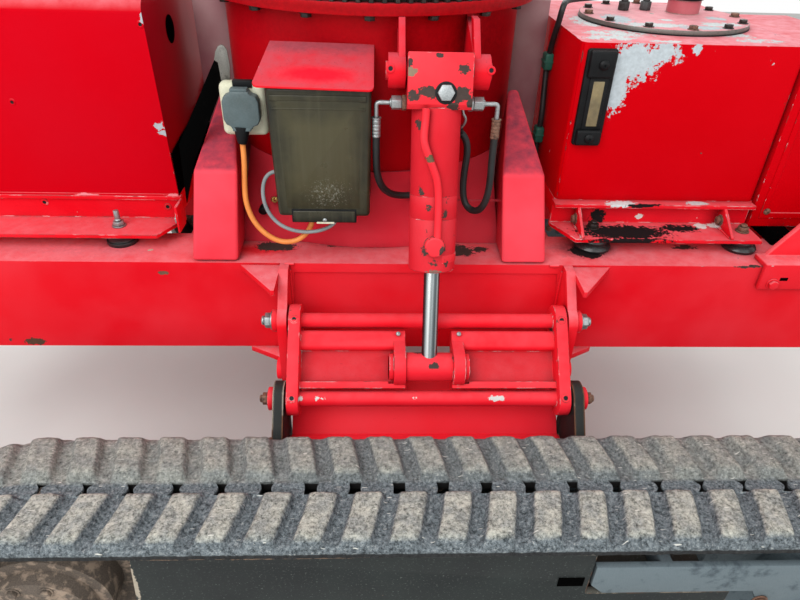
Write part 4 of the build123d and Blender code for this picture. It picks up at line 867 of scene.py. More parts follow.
for vertex in skirt.data.vertices:  # from a bulged foot on the beam up to the drum's wall
    aside, rise = vertex.co.x * 2, vertex.co.y + 0.5
    x = aside * pedestal["skirtReach"]
    foot = -pedestal["skirtFoot"] - pedestal["skirtBulge"] * max(0, 1 - (x / 140) ** 2)
    top = -math.sqrt(299 ** 2 - (0.96 * x) ** 2)
    if abs(x) < 100:
        top = min(top, foot + 4)
    share = rise ** 1.15
    vertex.co = at(x * (1 - 0.04 * share), foot * (1 - share) + top * share,
                   beamTop + (pedestal["skirtTop"] - beamTop) * rise)
modify(skirt, "SOLIDIFY", thickness=pedestal["skirtThick"] * mm, offset=-1)
coat(skirt, skirtPaint)
drum = coat(roundEdges(newTurned("drum", pedestal["drum"], 96), 2), drumShadePaint)
ears = soften("pedestal", "ringPedestal", pedestalPaint, 3, 3)
# of the drawing's pedestal only the hinge ears and the port blocks stay
pickFaces(ears, lambda c, n: math.hypot(c.x, c.y) <= 298.4 or not 721 < c.z < 1059.5 or abs(c.x - linkX) >= 112)
edit(ears)
bpy.ops.mesh.delete(type="FACE")
leave()
parts = [ears, drum, pillar, skirt, wall]
for piece, mirrors in ((pillar, ((-1, 1), (1, -1), (-1, -1))), (skirt, ((1, -1),)), (wall, ((-1, 1),))):
    for x, y in mirrors:
        parts.append(copyTo(piece, piece.name + "Copy", Matrix.Diagonal((x, y, 1, 1))))
        if x * y < 0:
            parts[-1].data.flip_normals()
mount(join("ringPedestal", parts), "chassis", "red_paint", "pedestal")
print("pedestal built")

# Hardware modelled once and copied
hardware = {"head": 10, "tall": 7, "washer": 12.5, "thick": 2}
boltTop = hardware["thick"] + hardware["tall"]
head = roundEdges(newRod("boltHead", hardware["head"], (0, 0, hardware["thick"]), (0, 0, boltTop), 6), 0.9)
washer = roundEdges(newRod("boltWasher", hardware["washer"], (0, 0, 0), (0, 0, hardware["thick"]), 24), 0.5)
hexBolt = join("hexBolt", [head, washer])
collar = roundEdges(newRod("nutWasher", 16, (0, 0, 0), (0, 0, 3), 28), 0.7)
nut = roundEdges(newRod("nutBody", 13.5, (0, 0, 3), (0, 0, 13), 6), 1.2)
stub = roundEdges(newRod("nutStub", 8, (0, 0, 13), (0, 0, 19), 20), 2.5, 3, 40)
pinNut = join("pinNut", [collar, nut, stub])
panScrew = newTurned("panScrew", [(0, 0), (5, 0), (4.8, 1.6), (3.4, 2.9), (1.2, 3.3), (1.1, 2.2), (0, 2.2)], 16)
holeRing = newTurned("holeRing", [(2.7, 0), (5.6, 0), (5.4, 0.9), (4.4, 1.3), (3.0, 1.0), (2.7, 0.3)], 18)
holeShade = newRod("holeShade", 3.1, (0, 0, 0), (0, 0, 0.5), 12)


def stand(pattern, material, place, direction, scale=1.0, turn=0.0):
    matrix = aim(place, direction, turn) @ Matrix.Scale(scale, 4)
    return coat(copyTo(pattern, pattern.name + "Copy", matrix), material)


def onCircle(radius, count, first=0):  # number and two offsets of each place on a bolt circle
    for number in range(count):
        angle = math.radians(first + 360 / count * number)
        yield number, radius * math.cos(angle), radius * math.sin(angle)


# the hole is a black disc, painted shade
def screwHole(material, place, direction, rim, dark, proud=0.0):  # a rolled rim round a dark hole
    inside = Vector(place) + Vector(direction) * proud
    return [stand(holeRing, material, place, direction, rim),
            stand(holeShade, blackPlastic, inside, direction, dark)]


def newWeld(name, start, end, radius, material):  # an uneven bead, with a ring to every 4 mm
    length = math.dist(start, end)
    steps = max(3, int(length / 4))
    ridge = [(radius * (1 + 0.16 * math.sin(1.6 * length * step / steps) + random.uniform(-0.06, 0.06)),
              length * step / steps) for step in range(steps + 1)]
    bead = newTurned(name, [(0, 0), *ridge, (0, length)], 10)
    bead.data.transform(aim(start, Vector(end) - Vector(start)))
    return coat(bead, material)


# Lift cylinder: hex plug, painted pipe, tube with its seams, wiper, hose fittings
cylinder = {
    "plug": (120, -418, 965), "plugHex": 14, "pipe": 13, "pipeOut": 3.5, "tubeX": 109.5,
    "pipeRoute": [(89, -424, 942), (88.5, -428, 925), (86, -436, 903), (87, -441, 889), (94, -446, 872),
                  (104, -452, 849), (110, -456, 834), (113, -461, 815), (114, -471, 784), (114, -484, 741),
                  (113, -489, 728), (110, -490, 722)],
}
# the black ring and disc round the hex plug are painted shade for its counterbore
ring = coat(newTurned("plugRing", [(12, 0), (17.5, 0), (17.5, 0.6), (16.2, 1), (12, 0.4)], 32), blackPlastic)
ring.data.transform(aim(cylinder["plug"], front))
plugRecessShade = coat(newRod("plugRecessShade", 16, (0, 0, 0), (0, 0, 0.5), 32), blackPlastic)
plugRecessShade.data.transform(aim(cylinder["plug"], front))
plug = roundEdges(newRod("plugHex", cylinder["plugHex"], (0, 0, 0.4), (0, 0, 7), 6), 1.1, 3)
plug.data.transform(aim(cylinder["plug"], front, 30))
parts = [coat(plug, zincSteel), ring, plugRecessShade]
wiper = newTurned("wiper", [(14.8, 0), (24, 0), (23, 2.4), (16, 4.2), (14.8, 3.4)], 40)
wiper.data.transform(aim(hinge + stroke * 333, stroke))
parts.append(coat(wiper, blackPlastic))
mountPair("cylinderTrim", parts, "lift_barrel", "bare_steel")
middle = hinge + Vector((cylinder["tubeX"] - linkX, 0, 0))
tube = newTurned("ramTube", [(15.5, 57), (41.5, 57), (41.5, 200), (41, 200.8), (41.5, 201.6), (41.5, 239.4),
                             (41, 240.2), (41.5, 241), (41.5, 331), (40, 333), (15.5, 333)], 56)
tube.data.transform(aim(middle, stroke))
route = [tuple(Vector(point) + front * cylinder["pipeOut"]) for point in cylinder["pipeRoute"]]
pipe = newPipe("ramPipe", route, cylinder["pipe"], cylinderPaint)[0]
foot = middle + stroke * 284
boss = newBar("ramBoss", 17, foot + front * 34, foot + front * 56, 28, cylinderPaint, 3, 4)
mountPair("ramPipe", [coat(tube, tubeShadePaint), pipe, boss], "lift_barrel", "red_paint")
fittings = {"y": -379.23, "z": 937.07, "face": 52, "reach": 102, "sleeveLow": 878.8}
crimp = [(5, 0), (7.3, 0), (7.6, 1), (7.6, 3), (6.9, 4), (7.5, 5), (7.5, 9), (6.9, 10), (7.5, 11), (7.5, 15),
         (6.9, 16), (7.5, 17), (7.5, 21), (6.9, 22), (7.6, 23), (7.6, 28), (6.6, 29.4), (6.6, 31), (8.3, 31.4),
         (8.3, 33.4), (5, 33.6)]
sleevePattern = newTurned("sleeve", crimp, 20)
parts = []
y, z = fittings["y"], fittings["z"]
for away, first, sleeveTone in ((-1, rustySteel, zincSteel), (1, zincSteel, rustySteel)):
    face, tip = linkX + away * fittings["face"], linkX + away * fittings["reach"]
    for start, end, radius, corner, tone in ((0, 7.5, 13.2, 6, first), (7, 9, 9.5, 16, zincSteel),
                                             (8.5, 25, 12, 6, zincSteel), (24.5, 27.5, 7.2, 20, zincSteel)):
        parts.append(newBar("fittingNut", radius, (face + away * start, y, z), (face + away * end, y, z), corner,
                            tone, 0.8))
    bend = [(face + away * 26, y, z), (tip - away * 12, y, z), (tip, y, z), (tip, y, z - 12), (tip, y, z - 27)]
    parts.append(newPipe("fittingBend", bend, 7.6, zincSteel)[0])
    parts.append(stand(sleevePattern, sleeveTone, (tip, y, fittings["sleeveLow"]), (0, 0, 1)))
mountPair("hoseFittings", parts, "lift_barrel", "bare_steel", "hose_fittings")
print("cylinder trimmed")

# Pins: nuts on every end, lock screws in the arm's rims, and the weld beads of the ears
pins = {  # middle in Y and Z, half length, nut's scale and turn
    "upper": ((-440, 533), 299.2, 1.15, 1164), "lower": ((-545, 427), 301.2, 0.9, 1176),
    "link": ((-545, 307), 301.2, 0.9, 1200),
}
armScrews = {"pinRadius": 31.6, "plateX": (53, 169), "drops": (28, 96), "down": (-0.70374, -0.71045)}
for body, names in (("swing_arm", ("upper", "lower")), ("lower_link", ("link",))):
    parts = []
    for name in names:
        middleYZ, reach, scale, turn = pins[name]
        for away in (-1, 1):
            tone = zincSteel if name == "upper" else rustySteel
            parts.append(stand(pinNut, tone, (linkX + away * reach, *middleYZ), (away, 0, 0), scale, turn))
    if body == "swing_arm":
        for name, (dy, dz) in (("upper", (-0.77, 0.63)), ("lower", (-0.73, 0.68))):
            y, z = pins[name][0]
            for x in (-144, 366):
                place = (x, y + armScrews["pinRadius"] * dy, z + armScrews["pinRadius"] * dz)
                parts += screwHole(linkPaint, place, (0, dy, dz), 1.5, 1.5)
        y, z = pins["upper"][0]
        for x in armScrews["plateX"]:
            for drop in armScrews["drops"]:
                dy, dz = (share * drop for share in armScrews["down"])
                place = (x, y + dy - 14.4, z + dz + 14.2)
                parts.append(stand(panScrew, zincSteel, place, (0, -0.71, 0.70), 0.9))
    mountPair(body + "Nuts", parts, body, "bare_steel")
beads = [newWeld("bead", (x, -371, 606), (x, -371, 425), 3.2, beamPaint) for x in (381, 399, -159, -177)]
beads += [newWeld("bead", (x, -371, 619), (x - 18, -371, 619), 3, beamPaint) for x in (-150, 372)]
mountPair("earWelds", beads, "chassis", "red_paint")

# Control box: moulded smoked cover, lid line, flap with its latch screw
shell = newBox("controlShell", (-174, -390, 730), (1, -302, 963))
pickFaces(shell, lambda c, n: n.y < -0.9)
edit(shell)
bpy.ops.mesh.inset(thickness=0.016, depth=0)
bpy.ops.mesh.inset(thickness=0.004, depth=0.0022)
leave()
for vertex in shell.data.vertices:  # a slight taper towards the foot
    if vertex.co.z < 800 * mm:
        vertex.co.x += (6 if vertex.co.x < -83 * mm else -3) * mm
parts = [
    coat(roundEdges(shell, 8, 5, 40), smokedPlastic),
    newBlock("controlBand", (-164, -392.6, 926), (-9, -389, 929), smokedPlastic, 0.8),
    newBlock("controlRim", (-166, -392.9, 940), (-7, -389, 950), smokedPlastic, 1.6),
    newBlock("controlFlap", (-141, -393.4, 721), (-29, -318, 743), smokedPlastic, 1.6, 3),
    # a black block behind the flap shows round it as painted shade in its gap
    newBlock("flapGapShade", (-143.5, -391.6, 719.6), (-26.5, -316, 746), blackPlastic, 1),
    newBlock("latchPlate", (-99, -394.4, 718.6), (-67, -393, 722), ivoryPlastic, 0.4),
    stand(panScrew, zincSteel, (-84, -393.2, 725.5), (0, -1, 0), 0.8),
]
mount(join("controlCover", parts), "chassis", "smoked_plastic", "control_box")

# Socket with its lid, and the plug's nose
parts = [newBlock("socketBase", (-262, -332, 859), (-182, -304, 952), ivoryPlastic, 11, 5, 40),
         newBlock("socketStrip", (-236, -334, 944), (-203, -322, 956), blackPlastic, 1.2),
         newBlock("socketBracket", (-256, -304, 856), (-196, -299.5, 938), pedestalPaint, 0.8)]
mount(join("socketBase", parts), "chassis", "ivory_plastic", "socket")
plug = {
    "lid": [(-240, 879), (-206, 879), (-203, 884), (-195, 887), (-191, 896), (-191, 926), (-195, 935),
            (-204, 938), (-207, 943), (-238, 943), (-241, 938), (-249, 935), (-253, 926), (-253, 896),
            (-249, 887), (-242, 884)],
    "front": -356, "thick": 22, "noseTop": (-225, -346, 882), "noseTip": (-227, -348, 851), "noseTaper": 0.54,
}
lid = newPlate("plugLid", [(x, plug["front"], z) for x, z in plug["lid"]], (0, plug["thick"], 0))
parts = [coat(roundEdges(lid, 2.2, 3, 25), plugPlastic),
         newBlock("lidTab", (-238, -353, 940), (-209, -336, 947), plugPlastic, 1.2),
         newBlock("lidTab", (-239, -357.5, 876), (-208, -338, 882), plugPlastic, 1.2)]
nose = newRod("plugNose", 15, plug["noseTop"], plug["noseTip"], 24)
tip = at(*plug["noseTip"])
for vertex in nose.data.vertices:
    if vertex.co.z < 860 * mm:
        vertex.co.xy = tip.xy + (vertex.co.xy - tip.xy) * plug["noseTaper"]
parts.append(coat(roundEdges(nose, 1.5, 3), blackPlastic))
mount(join("plugBody", parts), "chassis", "plug_plastic", "plug")

# Small pieces round the pedestal
parts = []
for number, dx, dy in onCircle(312, 18, -90.5):
    parts.append(stand(hexBolt, greasySteel, (dx, dy, 1060), (0, 0, -1), 1.0, 20 * number))
mount(join("ringNuts", parts), "chassis", "greasy_steel")
guardEdge = newPlate("guardEdge", [(x, -310, z) for x, z in (
    (-259, 946), (-244, 948), (-241, 975), (-243, 1000), (-247, 1006), (-252, 1008), (-258, 1005), (-263, 997),
    (-267, 983), (-261, 979), (-260, 962))], (0, 4, 0))
guardEdge = coat(roundEdges(guardEdge, 0.9), bareEdge)
brassHex = newBar("brassHex", 6.5, (-197, -262, 705), (-192, -276, 711), 6, brass, 0.6)
brassTip = newBar("brassTip", 3.6, (-192, -276, 711), (-185, -296, 722), 14, brass, 0.5)
grommet = newBar("grommet", 9, (-216, -266, 690), (-218, -282, 687), 20, blackPlastic, 2.4, 3)
mount(join("drainFitting", [brassHex, brassTip, grommet]), "chassis", "bare_steel")
mount(guardEdge, "chassis", "bare_steel")
thinLine = newPipe("thinLine", [(159, -330, 930), (160, -334, 908), (167, -334, 900), (167, -332, 890),
                                (161, -329, 880), (157, -326, 876)], 5, zincSteel)[0]
cap = newBar("lineCap", 9.4, (163, -325, 877), (150, -321.5, 869), 20, blackPlastic, 1.4)
portNut = newBar("portNut", 10.5, (131.4, -322, 874), (141, -322, 874), 6, zincSteel, 0.8)
lowNut = newBar("portNut", 10.5, (90.6, -322, 745), (81, -322, 745), 6, zincSteel, 0.8)
mountPair("portFittings", [thinLine, cap, portNut, lowNut], "chassis", "bare_steel")
parts = []
for x in (31.5, 193.5):  # lock screws of the hinge pin
    place = (x, hinge.y - 27.4 * 0.94, hinge.z + 27.4 * 0.34)
    parts += screwHole(pedestalPaint, place, (0, -0.94, 0.34), 1.3, 1.4)
for x in (44.5, 166.5):  # the ears' arms reach up to the underside of the flange
    arm = [(x, y, z) for y, z in ((-380, 1008), (-329, 1060.3), (-300, 1060.3), (-352, 1000))]
    parts.append(coat(roundEdges(newPlate("earArm", arm, (11, 0, 0)), 1), pedestalPaint))
mountPair("hingeScrews", parts, "chassis", "red_paint")

# Left cover: hem, screws, and near-black painted shade for its hole and on its side wall
wallShadow = [(-389, y, z) for y, z in ((-247, 707), (-247, 792), (-178, 801), (4, 818), (147, 884), (147, 707))]
parts = [newBlock("coverHem", (-1039, -252, 702), (-390, -249, 709), coverPaint, 0.9),
         coat(newPlate("coverWallShadow", wallShadow, (1.2, 0, 0)), shadeBlack)]
for x, z in ((-400, 1026), (-660, 888), (-660, 1026), (-930, 888), (-930, 1026)):
    parts += screwHole(coverPaint, (x, -250, z), (0, -1, 0), 1.1, 1.1, 0.2)
parts.append(coat(newRod("coverHoleShade", 26, (-395, -109, 993), (-393.2, -109, 993), 40), shadeBlack))
mount(join("coverTrim", parts), "chassis", "red_paint")

# Rail trim: screws and nuts over the rubber feet, gussets, the small end plate
parts = []
for x, z in ((-659, 688), (-415, 681), (-900, 688)):
    parts += screwHole(railPaint, (x, -250.2, z), (0, -1, 0), 1.3, 1.4, 0.2)
for x, y, tone in ((-505, -288, zincSteel), (-900, -288, zincSteel), (460, -276, greasySteel),
                   (773, -286, rustySteel)):
    parts.append(stand(pinNut, tone, (x, y, 656), (0, 0, 1), 0.85, 17))
for x, y, radius in ((460, -290, 37), (773, -292, 33)):
    bulge = [(radius, 621), (radius + 1, 626), (radius - 2, 631), (radius - 7, 634), (radius - 6, 640)]
    foot = newTurned("squashedFoot", [(0, 621), *bulge, (radius - 10, 647.6), (0, 647.6)], 32)
    foot.data.transform(Matrix.Translation(at(x, y, 0)))
    parts.append(coat(foot, mountRubber))
parts.append(newBar("stud", 5.4, (-505, -288, 670), (-505, -288, 690), 16, zincSteel, 1.6))
for x in (423, 730):
    gusset = [(x, y, z) for y, z in ((-250, 656), (-326, 656), (-326, 660), (-269, 699), (-250, 699))]
    parts.append(coat(roundEdges(newPlate("railGusset", gusset, (6, 0, 0)), 0.9), railPaint))
    parts.append(stand(hexBolt, rustySteel, (x, -268, 672), (-1, 0, 0), 0.9))
    parts.append(newWeld("gussetWeld", (x - 1, -252, 657), (x - 1, -322, 657), 2, railPaint))
plate = newBlock("railEndPlate", (-384, -306, 650), (-379.5, -262, 705), railPaint, 0.8)
parts += [plate, stand(hexBolt, zincSteel, (-384, -280, 668), (-1, 0, 0), 1.0)]
mountPair("railTrim", parts, "chassis", "red_paint")

# Tank: gasket, lid bolts, gauge window, ports, the black pipe in its clips, and the side box's door
tank = {"boltCircle": 158, "top": 1012, "lidTop": 1022}
gasket = newTurned("lidGasket", [(160, 0), (173.4, 0), (173.4, 2.2), (160, 2.2)], 64)
gasket.data.transform(Matrix.Translation(at(lidX, lidY, tank["top"] + 0.1)))
parts = [coat(gasket, blackPlastic)]
for number, dx, dy in onCircle(tank["boltCircle"], 12):
    place = (lidX + dx, lidY + dy, tank["lidTop"])
    parts.append(stand(hexBolt, greasySteel if number % 3 else rustySteel, place, (0, 0, 1), 0.85, 13 * number))
cap = newTurned("fillerCap", [(0, 1050), (38, 1050), (38, 1062), (36, 1064), (30, 1066), (0, 1066)], 28)
cap.data.transform(Matrix.Translation(at(675, 38, 0)))
parts.append(coat(roundEdges(cap, 0.8), blackPlastic))
mount(join("lidTrim", parts), "chassis", "bare_steel")
window = newBlock("gaugeGlass", (409, -258, 862), (431, -254, 947), amberPlastic, 3, 3)
bezel = newBlock("gaugeBezel", (402, -257.4, 855), (437, -254, 954), blackPlastic, 2)
collars = [newBlock("gaugeEnd", (394, -264, z), (442, -254, z + tall), blackPlastic, 4, 3)
           for z, tall in ((826, 30), (953, 48))]
parts = [window, bezel, *collars, stand(panScrew, blackPlastic, (420, -263.5, 977), (0, -1, 0), 1.9),
         stand(panScrew, blackPlastic, (419, -263.5, 841), (0, -1, 0), 1.9)]
mount(join("gaugeTrim", parts), "chassis", "gauge_plastic")
tankPipe = [(549, 52, 1052), (520, 46, 1052), (470, 20, 1050), (420, -20, 1052), (385, -75, 1056),
            (372, -105, 1050), (371, -96, 1020), (371, -80, 996), (371, -66, 966), (371, -52, 930),
            (371, -62, 880), (371, -74, 830), (371, -72, 800), (371, -64, 772), (371, -76, 726)]
parts = [newPipe("tankPipe", tankPipe, 12, hoseRubber)[0]]
for y, z in ((-54, 936), (-70, 784)):
    parts.append(newBlock("pipeClip", (362, y - 15, z - 17), (380, y + 15, z + 17), greenPlastic, 4, 3))
    parts.append(newBlock("pipeClip", (360.5, y - 15.6, z - 2), (380, y + 15.6, z + 2), greenPlastic, 0.8))
for x, y in ((549, 52), (600, 60)):
    parts.append(newBar("tankPort", 12, (x, y, 1022), (x, y, 1040), 6, engineIron, 1.2))
    parts.append(newBar("tankPort", 7.5, (x, y, 1040), (x, y, 1054), 16, engineIron, 1.2))
returnPipe = [(600, 60, 1052), (600, 78, 1056), (606, 120, 1056), (620, 165, 1040), (626, 190, 1013)]
parts.append(newPipe("returnPipe", returnPipe, 10, hoseRubber)[0])
mount(join("tankPipes", parts), "chassis", "grey_jacket")
panel = newBox("boxDoor", (824, -248.5, 668), (1026, -244, 972))
pickFaces(panel, lambda c, n: n.y < -0.9)
edit(panel)
bpy.ops.mesh.inset(thickness=0.012, depth=0)
bpy.ops.mesh.inset(thickness=0.0015, depth=-0.0015)
leave()
parts = [coat(roundEdges(panel, 1, 2, 40), tankPaint)]
for x, z in ((836, 684), (836, 956), (1014, 684), (1014, 956)):
    parts.append(stand(panScrew, rustySteel, (x, -248.4, z), (0, -1, 0), 1.4))
mountPair("boxDoor", parts, "chassis", "red_paint")

# End brackets: bolt, a near-black block as painted shade in the slot, and the seats round the outrigger's bolt
# holes
parts = [stand(hexBolt, beamPaint, (811, -382, 587), (0, -1, 0), 1.0, 10),
         newBlock("bracketSlotShade", (823, -382.6, 594), (840, -380, 602), shadeBlack, 3.2, 3)]
mountPair("bracketTrim", parts, "chassis", "red_paint")
parts = []
for end in (-1, 1):
    for y in (-385, -235):
        for z in (392.5, 642.5):
            parts.append(newTurned("boltSeat", [(9.3, 0), (17, 0), (16, 0.8), (9.3, 0.6)], 24))
            parts[-1].data.transform(aim((end * 1080, y, z), (end, 0, 0)))
            coat(parts[-1], bareEdge)
mountPair("boltSeats", parts, "chassis", "bare_steel")

# Running gear trim: bolt circles, hub caps, roller caps, frame bolts
gear = {"hubFace": -838, "rollers": (-290, -92.5, 105, 302.5, 500), "rollerAxle": 80.3}
parts = []
for number, dx, dz in onCircle(70, 8, 24):
    place = (sprocketX + dx, gear["hubFace"], axleZ + dz)
    parts.append(stand(hexBolt, muddySteel, place, (0, -1, 0), 0.9, 20 * number))
hub = newTurned("hubCap", [(0, 0), (34, 0), (34, 5), (30, 9), (14, 11), (12, 9), (0, 9)], 36)
parts.append(stand(hub, muddySteel, (sprocketX, gear["hubFace"], axleZ), (0, -1, 0)))
flange = newTurned("motorRing", [(63, 0), (70, 0), (70, 8), (63, 10)], 40)
parts.append(stand(flange, muddySteel, (sprocketX, frameInside, axleZ), (0, 1, 0)))
for number, dx, dz in onCircle(100, 6):
    place = (sprocketX + dx, frameInside, axleZ + dz)
    parts.append(stand(hexBolt, muddySteel, place, (0, 1, 0), 1.1, 20 * number))
for x in gear["rollers"]:
    for y, facing in ((frameOutside, -1), (frameInside, 1)):
        parts.append(stand(hub, muddySteel, (x, y, gear["rollerAxle"]), (0, facing, 0), 0.55))
for x, z in ((-250, 200), (60, 200), (-300, 110), (200, 110)):
    parts.append(stand(hexBolt, rustySteel, (x, frameOutside, z), (0, -1, 0), 1.2, x))
# a near-black block in the frame's slot, painted shade
parts.append(coat(newBox("frameSlotShade", (306, -851.4, 300), (348, -843, 322)), shadeBlack))
parts.append(newWeld("plateWeld", (-356, -849, 384), (352, -849, 384), 2.6, blackPaint))
mountPair("gearTrim", parts, "track_unit", "muddy_steel")
parts = []
for y, facing in ((frameOutside, -1), (frameInside, 1)):
    parts.append(stand(hub, forkSteel, (idlerX, y, axleZ), (0, facing, 0), 1.1))
    for x, z in ((660, 180), (660, 250)):
        parts.append(stand(hexBolt, rustySteel, (x, y, z), (0, facing, 0), 1.1, x))
mountPair("idlerTrim", parts, "track_unit", "fork_steel")
scrap(hexBolt, pinNut, panScrew, holeRing, holeShade, sleevePattern, hub, flange)
print("details mounted")

# Rubber track: one pitch of belt, repeated and laid round both wheels
trackSizes = {
    "pitch": 72, "pitches": 53, "wheelbase": idlerX - sprocketX, "pitchRadius": 194.81,
    "centreY": 750, "half": 9, "lug": 15, "clear": 0.2, "slotPhase": 15, "seam": 2376,
    # columns along the belt from one slot's start to the next: outer half, strip and inner half
    "outer": (-14, -8, -4, -1, 2.5, 8, 22, 36, 41.5, 45, 48, 52, 58),
    "strip": (-14, -8, -2, 4, 9, 14, 21, 31, 37, 41, 45, 50, 58),
    "inner": (-14, -6, 1, 6.5, 10, 13, 18, 28, 33, 36, 39.5, 48, 58),
    "outerRise": (0, 0, 0.05, 0.6, 1, 1, 1.05, 1, 1, 0.6, 0.05, 0, 0),
    "innerRise": (1, 1, 1, 1, 0.6, 0.05, 0, 0, 0.05, 0.6, 1, 1.04, 1),
    # rows across the belt: place, share of the lug's height, drop of the surface
    "rows": ((-113.6, 0, -6.5), (-113.3, 0, -4), (-111.6, 0.05, -2), (-107, 0.5, -0.6), (-101, 1, 0),
             (-88, 1, 0), (-66, 1, 0), (-42, 1, 0), (-24, 1, 0), (-17.5, 1, 0), (-15, 0.5, 0), (-13, 0.12, 0),
             (-6, 0.1, 0), (0, 0.1, 0), (6, 0.1, 0), (13, 0.1, 0), (17, 0.3, 0), (24, 1, 0), (42, 1, 0),
             (66, 1, 0), (88, 1, 0), (101, 1, 0), (108, 0.5, -1.4), (113, 0.05, -5), (115, 0, -9)),
    "sweep": 22,
    "waist": (8.4, -3.6, 28, 18, 1.4),  # middle, swing, slot it starts from, slots in a round, chance
}


def repeatPitch(piece):
    modify(piece, "ARRAY", count=trackSizes["pitches"], use_relative_offset=False, use_constant_offset=True,
           constant_offset_displace=(trackSizes["pitch"] * mm, 0, 0), use_merge_vertices=True,
           merge_threshold=0.0002)


def keepPlace(piece):  # stores the place on the flat belt, which the rubber's pattern follows
    place = piece.data.attributes.new("beltPlace", "FLOAT_VECTOR", "POINT")
    place.data.foreach_set("vector", [c for vertex in piece.data.vertices for c in vertex.co])
    return piece


def makeBelt(name):
    s = trackSizes
    columns, rows = len(s["strip"]) - 1, len(s["rows"]) - 1
    deselect()
    bpy.ops.mesh.primitive_grid_add(x_subdivisions=columns, y_subdivisions=rows, size=1)
    belt = bpy.context.object
    belt.name = name
    for vertex in belt.data.vertices:
        i, j = round((vertex.co.x + 0.5) * columns), round((vertex.co.y + 0.5) * rows)
        y, share, drop = s["rows"][j]
        reach = max(abs(y) - 17, 0) / 98
        half = "strip" if abs(y) < 14 else ("outer" if y < 0 else "inner")
        rise = 1 if half == "strip" else s[half + "Rise"][i]
        vertex.co = at(s[half][i] - s["sweep"] * reach ** 1.3, y, s["half"] + rise * share * s["lug"] + drop)
    pickFaces(belt, lambda c, n: abs(c.y) < 12 and c.x < 14)  # the drive slot
    edit(belt)
    bpy.ops.mesh.delete(type="FACE")
    leave()
    repeatPitch(belt)
    middle, swing, first, turnOver, chance = s["waist"]
    waists = [middle + swing * math.cos(math.tau * (index - first) / turnOver) + random.uniform(-chance, chance)
              for index in range(s["pitches"] + 1)]
    for vertex in belt.data.vertices:  # every slot is torn to a different hourglass
        x, y, z = vertex.co / mm
        index, place = divmod(x + 29, s["pitch"])
        place -= 29
        if abs(y) < 14 and abs(abs(place) - 14) < 1:
            pinch = waists[int(index)] * (1 - (y / 13) ** 2) if abs(y) < 12 else random.uniform(-4, 0)
            vertex.co += at(-math.copysign(pinch, place), random.uniform(-1.2, 1.2), 0)
    modify(belt, "SUBSURF", levels=1, render_levels=1)
    lumps = bpy.data.textures.new("rubberLumps", "CLOUDS")
    lumps.noise_scale = 0.011
    modify(belt, "DISPLACE", texture=lumps, strength=0.0026, mid_level=0.5)
    edit(belt, "EDGE")
    bpy.ops.mesh.select_all(action="DESELECT")
    bpy.ops.mesh.select_non_manifold()
    bpy.ops.mesh.extrude_edges_move()
    leave()
    for vertex in belt.data.vertices:
        if vertex.select:
            vertex.co.z = -s["half"] * mm
    return keepPlace(belt)


def makeCarcass(name):  # the inside of the belt, below the worn surface
    band = newBox(name, (-14, -113, -trackSizes["half"]), (58, 113, 2))
    edit(band, "EDGE")
    for place, normal in (((14, 0, 0), (1, 0, 0)), ((36, 0, 0), (1, 0, 0)), ((0, -13.5, 0), (0, 1, 0)),
                          ((0, 13.5, 0), (0, 1, 0))):
        bpy.ops.mesh.select_all(action="SELECT")
        bpy.ops.mesh.bisect(plane_co=at(*place), plane_no=normal)
    leave()
    pickFaces(band, lambda c, n: abs(n.z) > 0.9 and abs(c.y) < 13 and c.x < 14)
    edit(band)
    bpy.ops.mesh.bridge_edge_loops()
    leave()
    pickFaces(band, lambda c, n: abs(n.x) > 0.9 and (c.x < -13 or c.x > 57))
    edit(band)
    bpy.ops.mesh.delete(type="FACE")
    leave()
    repeatPitch(band)
    return keepPlace(band)


def layRound(x, y, z):  # from the flat belt to the loop round both wheels
    s = trackSizes
    total, base, radius = s["pitch"] * s["pitches"], s["wheelbase"], s["pitchRadius"]
    half = math.pi * radius
    distance = (x + s["slotPhase"] + s["seam"]) % total * (2 * base + 2 * half) / total
    if distance < base:
        return sprocketX + distance, y, axleZ + radius + z
    if distance < base + half:
        turn = (distance - base) / radius
        return (sprocketX + base + (radius + z) * math.sin(turn), y,
                axleZ + (radius + z) * math.cos(turn))
    if distance < 2 * base + half:
        return sprocketX + base - (distance - base - half), y, axleZ - radius - z
    turn = math.pi + (distance - 2 * base - half) / radius
    return sprocketX + (radius + z) * math.sin(turn), y, axleZ + (radius + z) * math.cos(turn)


belt = join("trackBeltNear", [makeBelt("trackBeltNear"), makeCarcass("trackCarcass")])
for vertex in belt.data.vertices:
    x, y, z = vertex.co / mm
    x, y, z = layRound(x, y, z)
    vertex.co = at(x, y - trackSizes["centreY"], max(z, trackSizes["clear"]))
edit(belt, "VERT")
bpy.ops.mesh.select_all(action="SELECT")
bpy.ops.mesh.remove_doubles(threshold=0.0003)
bpy.ops.mesh.select_all(action="SELECT")
bpy.ops.mesh.normals_make_consistent(inside=False)
leave()


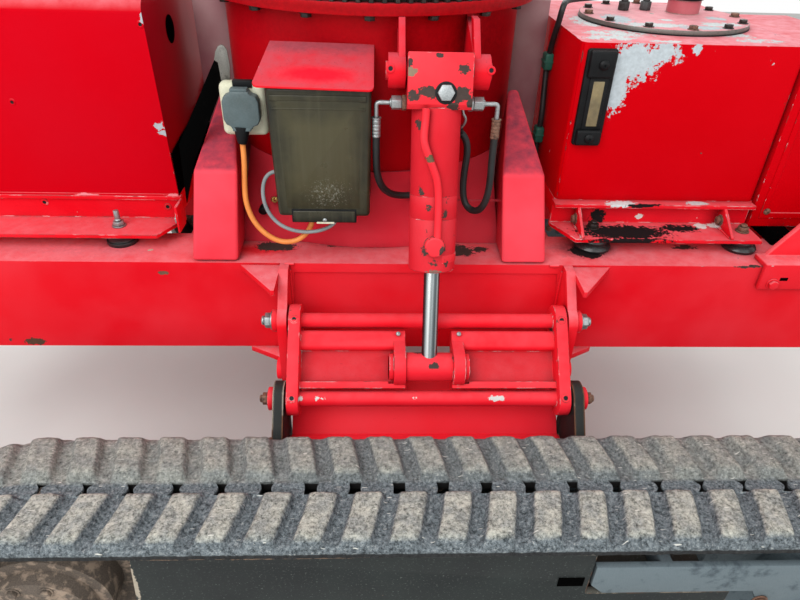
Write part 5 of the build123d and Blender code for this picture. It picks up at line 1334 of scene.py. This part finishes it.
# Vulcanised rubber worn by gravel: tan dust ground into the lug tops, blue-grey in the grooves.
def makeTrackRubber(name):
    material, tree, shader = startMaterial(name)
    place = addNode(tree, "ShaderNodeAttribute", attribute_name="beltPlace").outputs["Vector"]
    parts = addNode(tree, "ShaderNodeSeparateXYZ", [place]).outputs
    blotch = noise(tree, place, 75, 9, 0.78)
    grit = noise(tree, place, 190, 8, 0.82)
    tops = span(tree, reckon(tree, "MULTIPLY_ADD", blotch, 0.012, parts["Z"]), 0.0238, 0.0292, 0, 1)
    rubbed = span(tree, noise(tree, place, 34, 7, 0.7), 0.40, 0.60, 0.45, 1)
    tops = reckon(tree, "MULTIPLY", tops, rubbed)
    # the inner half is dusty all over at both ends of the run and dark in its middle
    spot = addNode(tree, "ShaderNodeTexCoord").outputs["Object"]
    along = addNode(tree, "ShaderNodeSeparateXYZ", [spot]).outputs["X"]
    innerHalf = span(tree, parts["Y"], 0.008, 0.016, 0, 1)
    leftEnd = span(tree, along, -0.05, -0.32, 0.05, 0.7)
    dusty = reckon(tree, "MAXIMUM", leftEnd, span(tree, along, 0.42, 0.52, 0.05, 0.6))
    dusty = reckon(tree, "MULTIPLY", reckon(tree, "MULTIPLY", dusty, rubbed), innerHalf)
    tops = reckon(tree, "MAXIMUM", tops, dusty)
    flecked = reckon(tree, "MULTIPLY_ADD", blotch, 1.4, span(tree, grit, 0.40, 0.60, 0, 0.8))
    flecked = span(tree, flecked, 0.7, 1.5, 0, 1)
    groove = tinge(tree, flecked, "#343b3f", "#858f94")
    colour = tinge(tree, tops, groove, tinge(tree, flecked, "#82837a", "#d2d2c6"))
    colour = tinge(tree, reckon(tree, "MULTIPLY", innerHalf, 0.35), colour, "#6e706c")
    # pale specks and dark pits of 1 to 5 mm
    colour = tinge(tree, span(tree, grit, 0.575, 0.65, 0, 0.6), colour, "#d2cec2")
    colour = tinge(tree, span(tree, grit, 0.435, 0.35, 0, 0.8), colour, "#24282a")
    # slivers of straw, 2 by 15 mm, lying two ways
    for turn in (0.5, 2.3):
        sockets = {"Vector": place, "Rotation": (0, 0, turn), "Scale": (60, 420, 60)}
        laid = addNode(tree, "ShaderNodeMapping", sockets).outputs[0]
        straw = span(tree, noise(tree, laid, 1, 0), 0.845, 0.86, 0, 0.9)
        colour = tinge(tree, straw, colour, "#e0e0d8")
    # painted shade, near black, on the slot walls and the belt's two sides
    inSlot = span(tree, reckon(tree, "ABSOLUTE", parts["Y"]), 0.02, 0.03, 1, 0)
    inSlot = reckon(tree, "MULTIPLY", inSlot, span(tree, parts["Z"], 0.0078, 0.0045, 0, 1))
    inside = reckon(tree, "MAXIMUM", inSlot, span(tree, parts["Z"], 0.0012, -0.0012, 0, 0.9))
    height = reckon(tree, "MULTIPLY_ADD", blotch, 2, grit)
    fill(shader, {"Base Color": tinge(tree, inside, colour, "#121010"), "Roughness": 0.82,
                  "Specular IOR Level": 0.3, "Normal": bump(tree, 0.9, 0.0014, height)})
    return material


coat(belt, makeTrackRubber("wornTrackRubber"))
mountPair("trackBelt", [belt], "track_unit", "track_rubber", "track")
print("tracks laid")
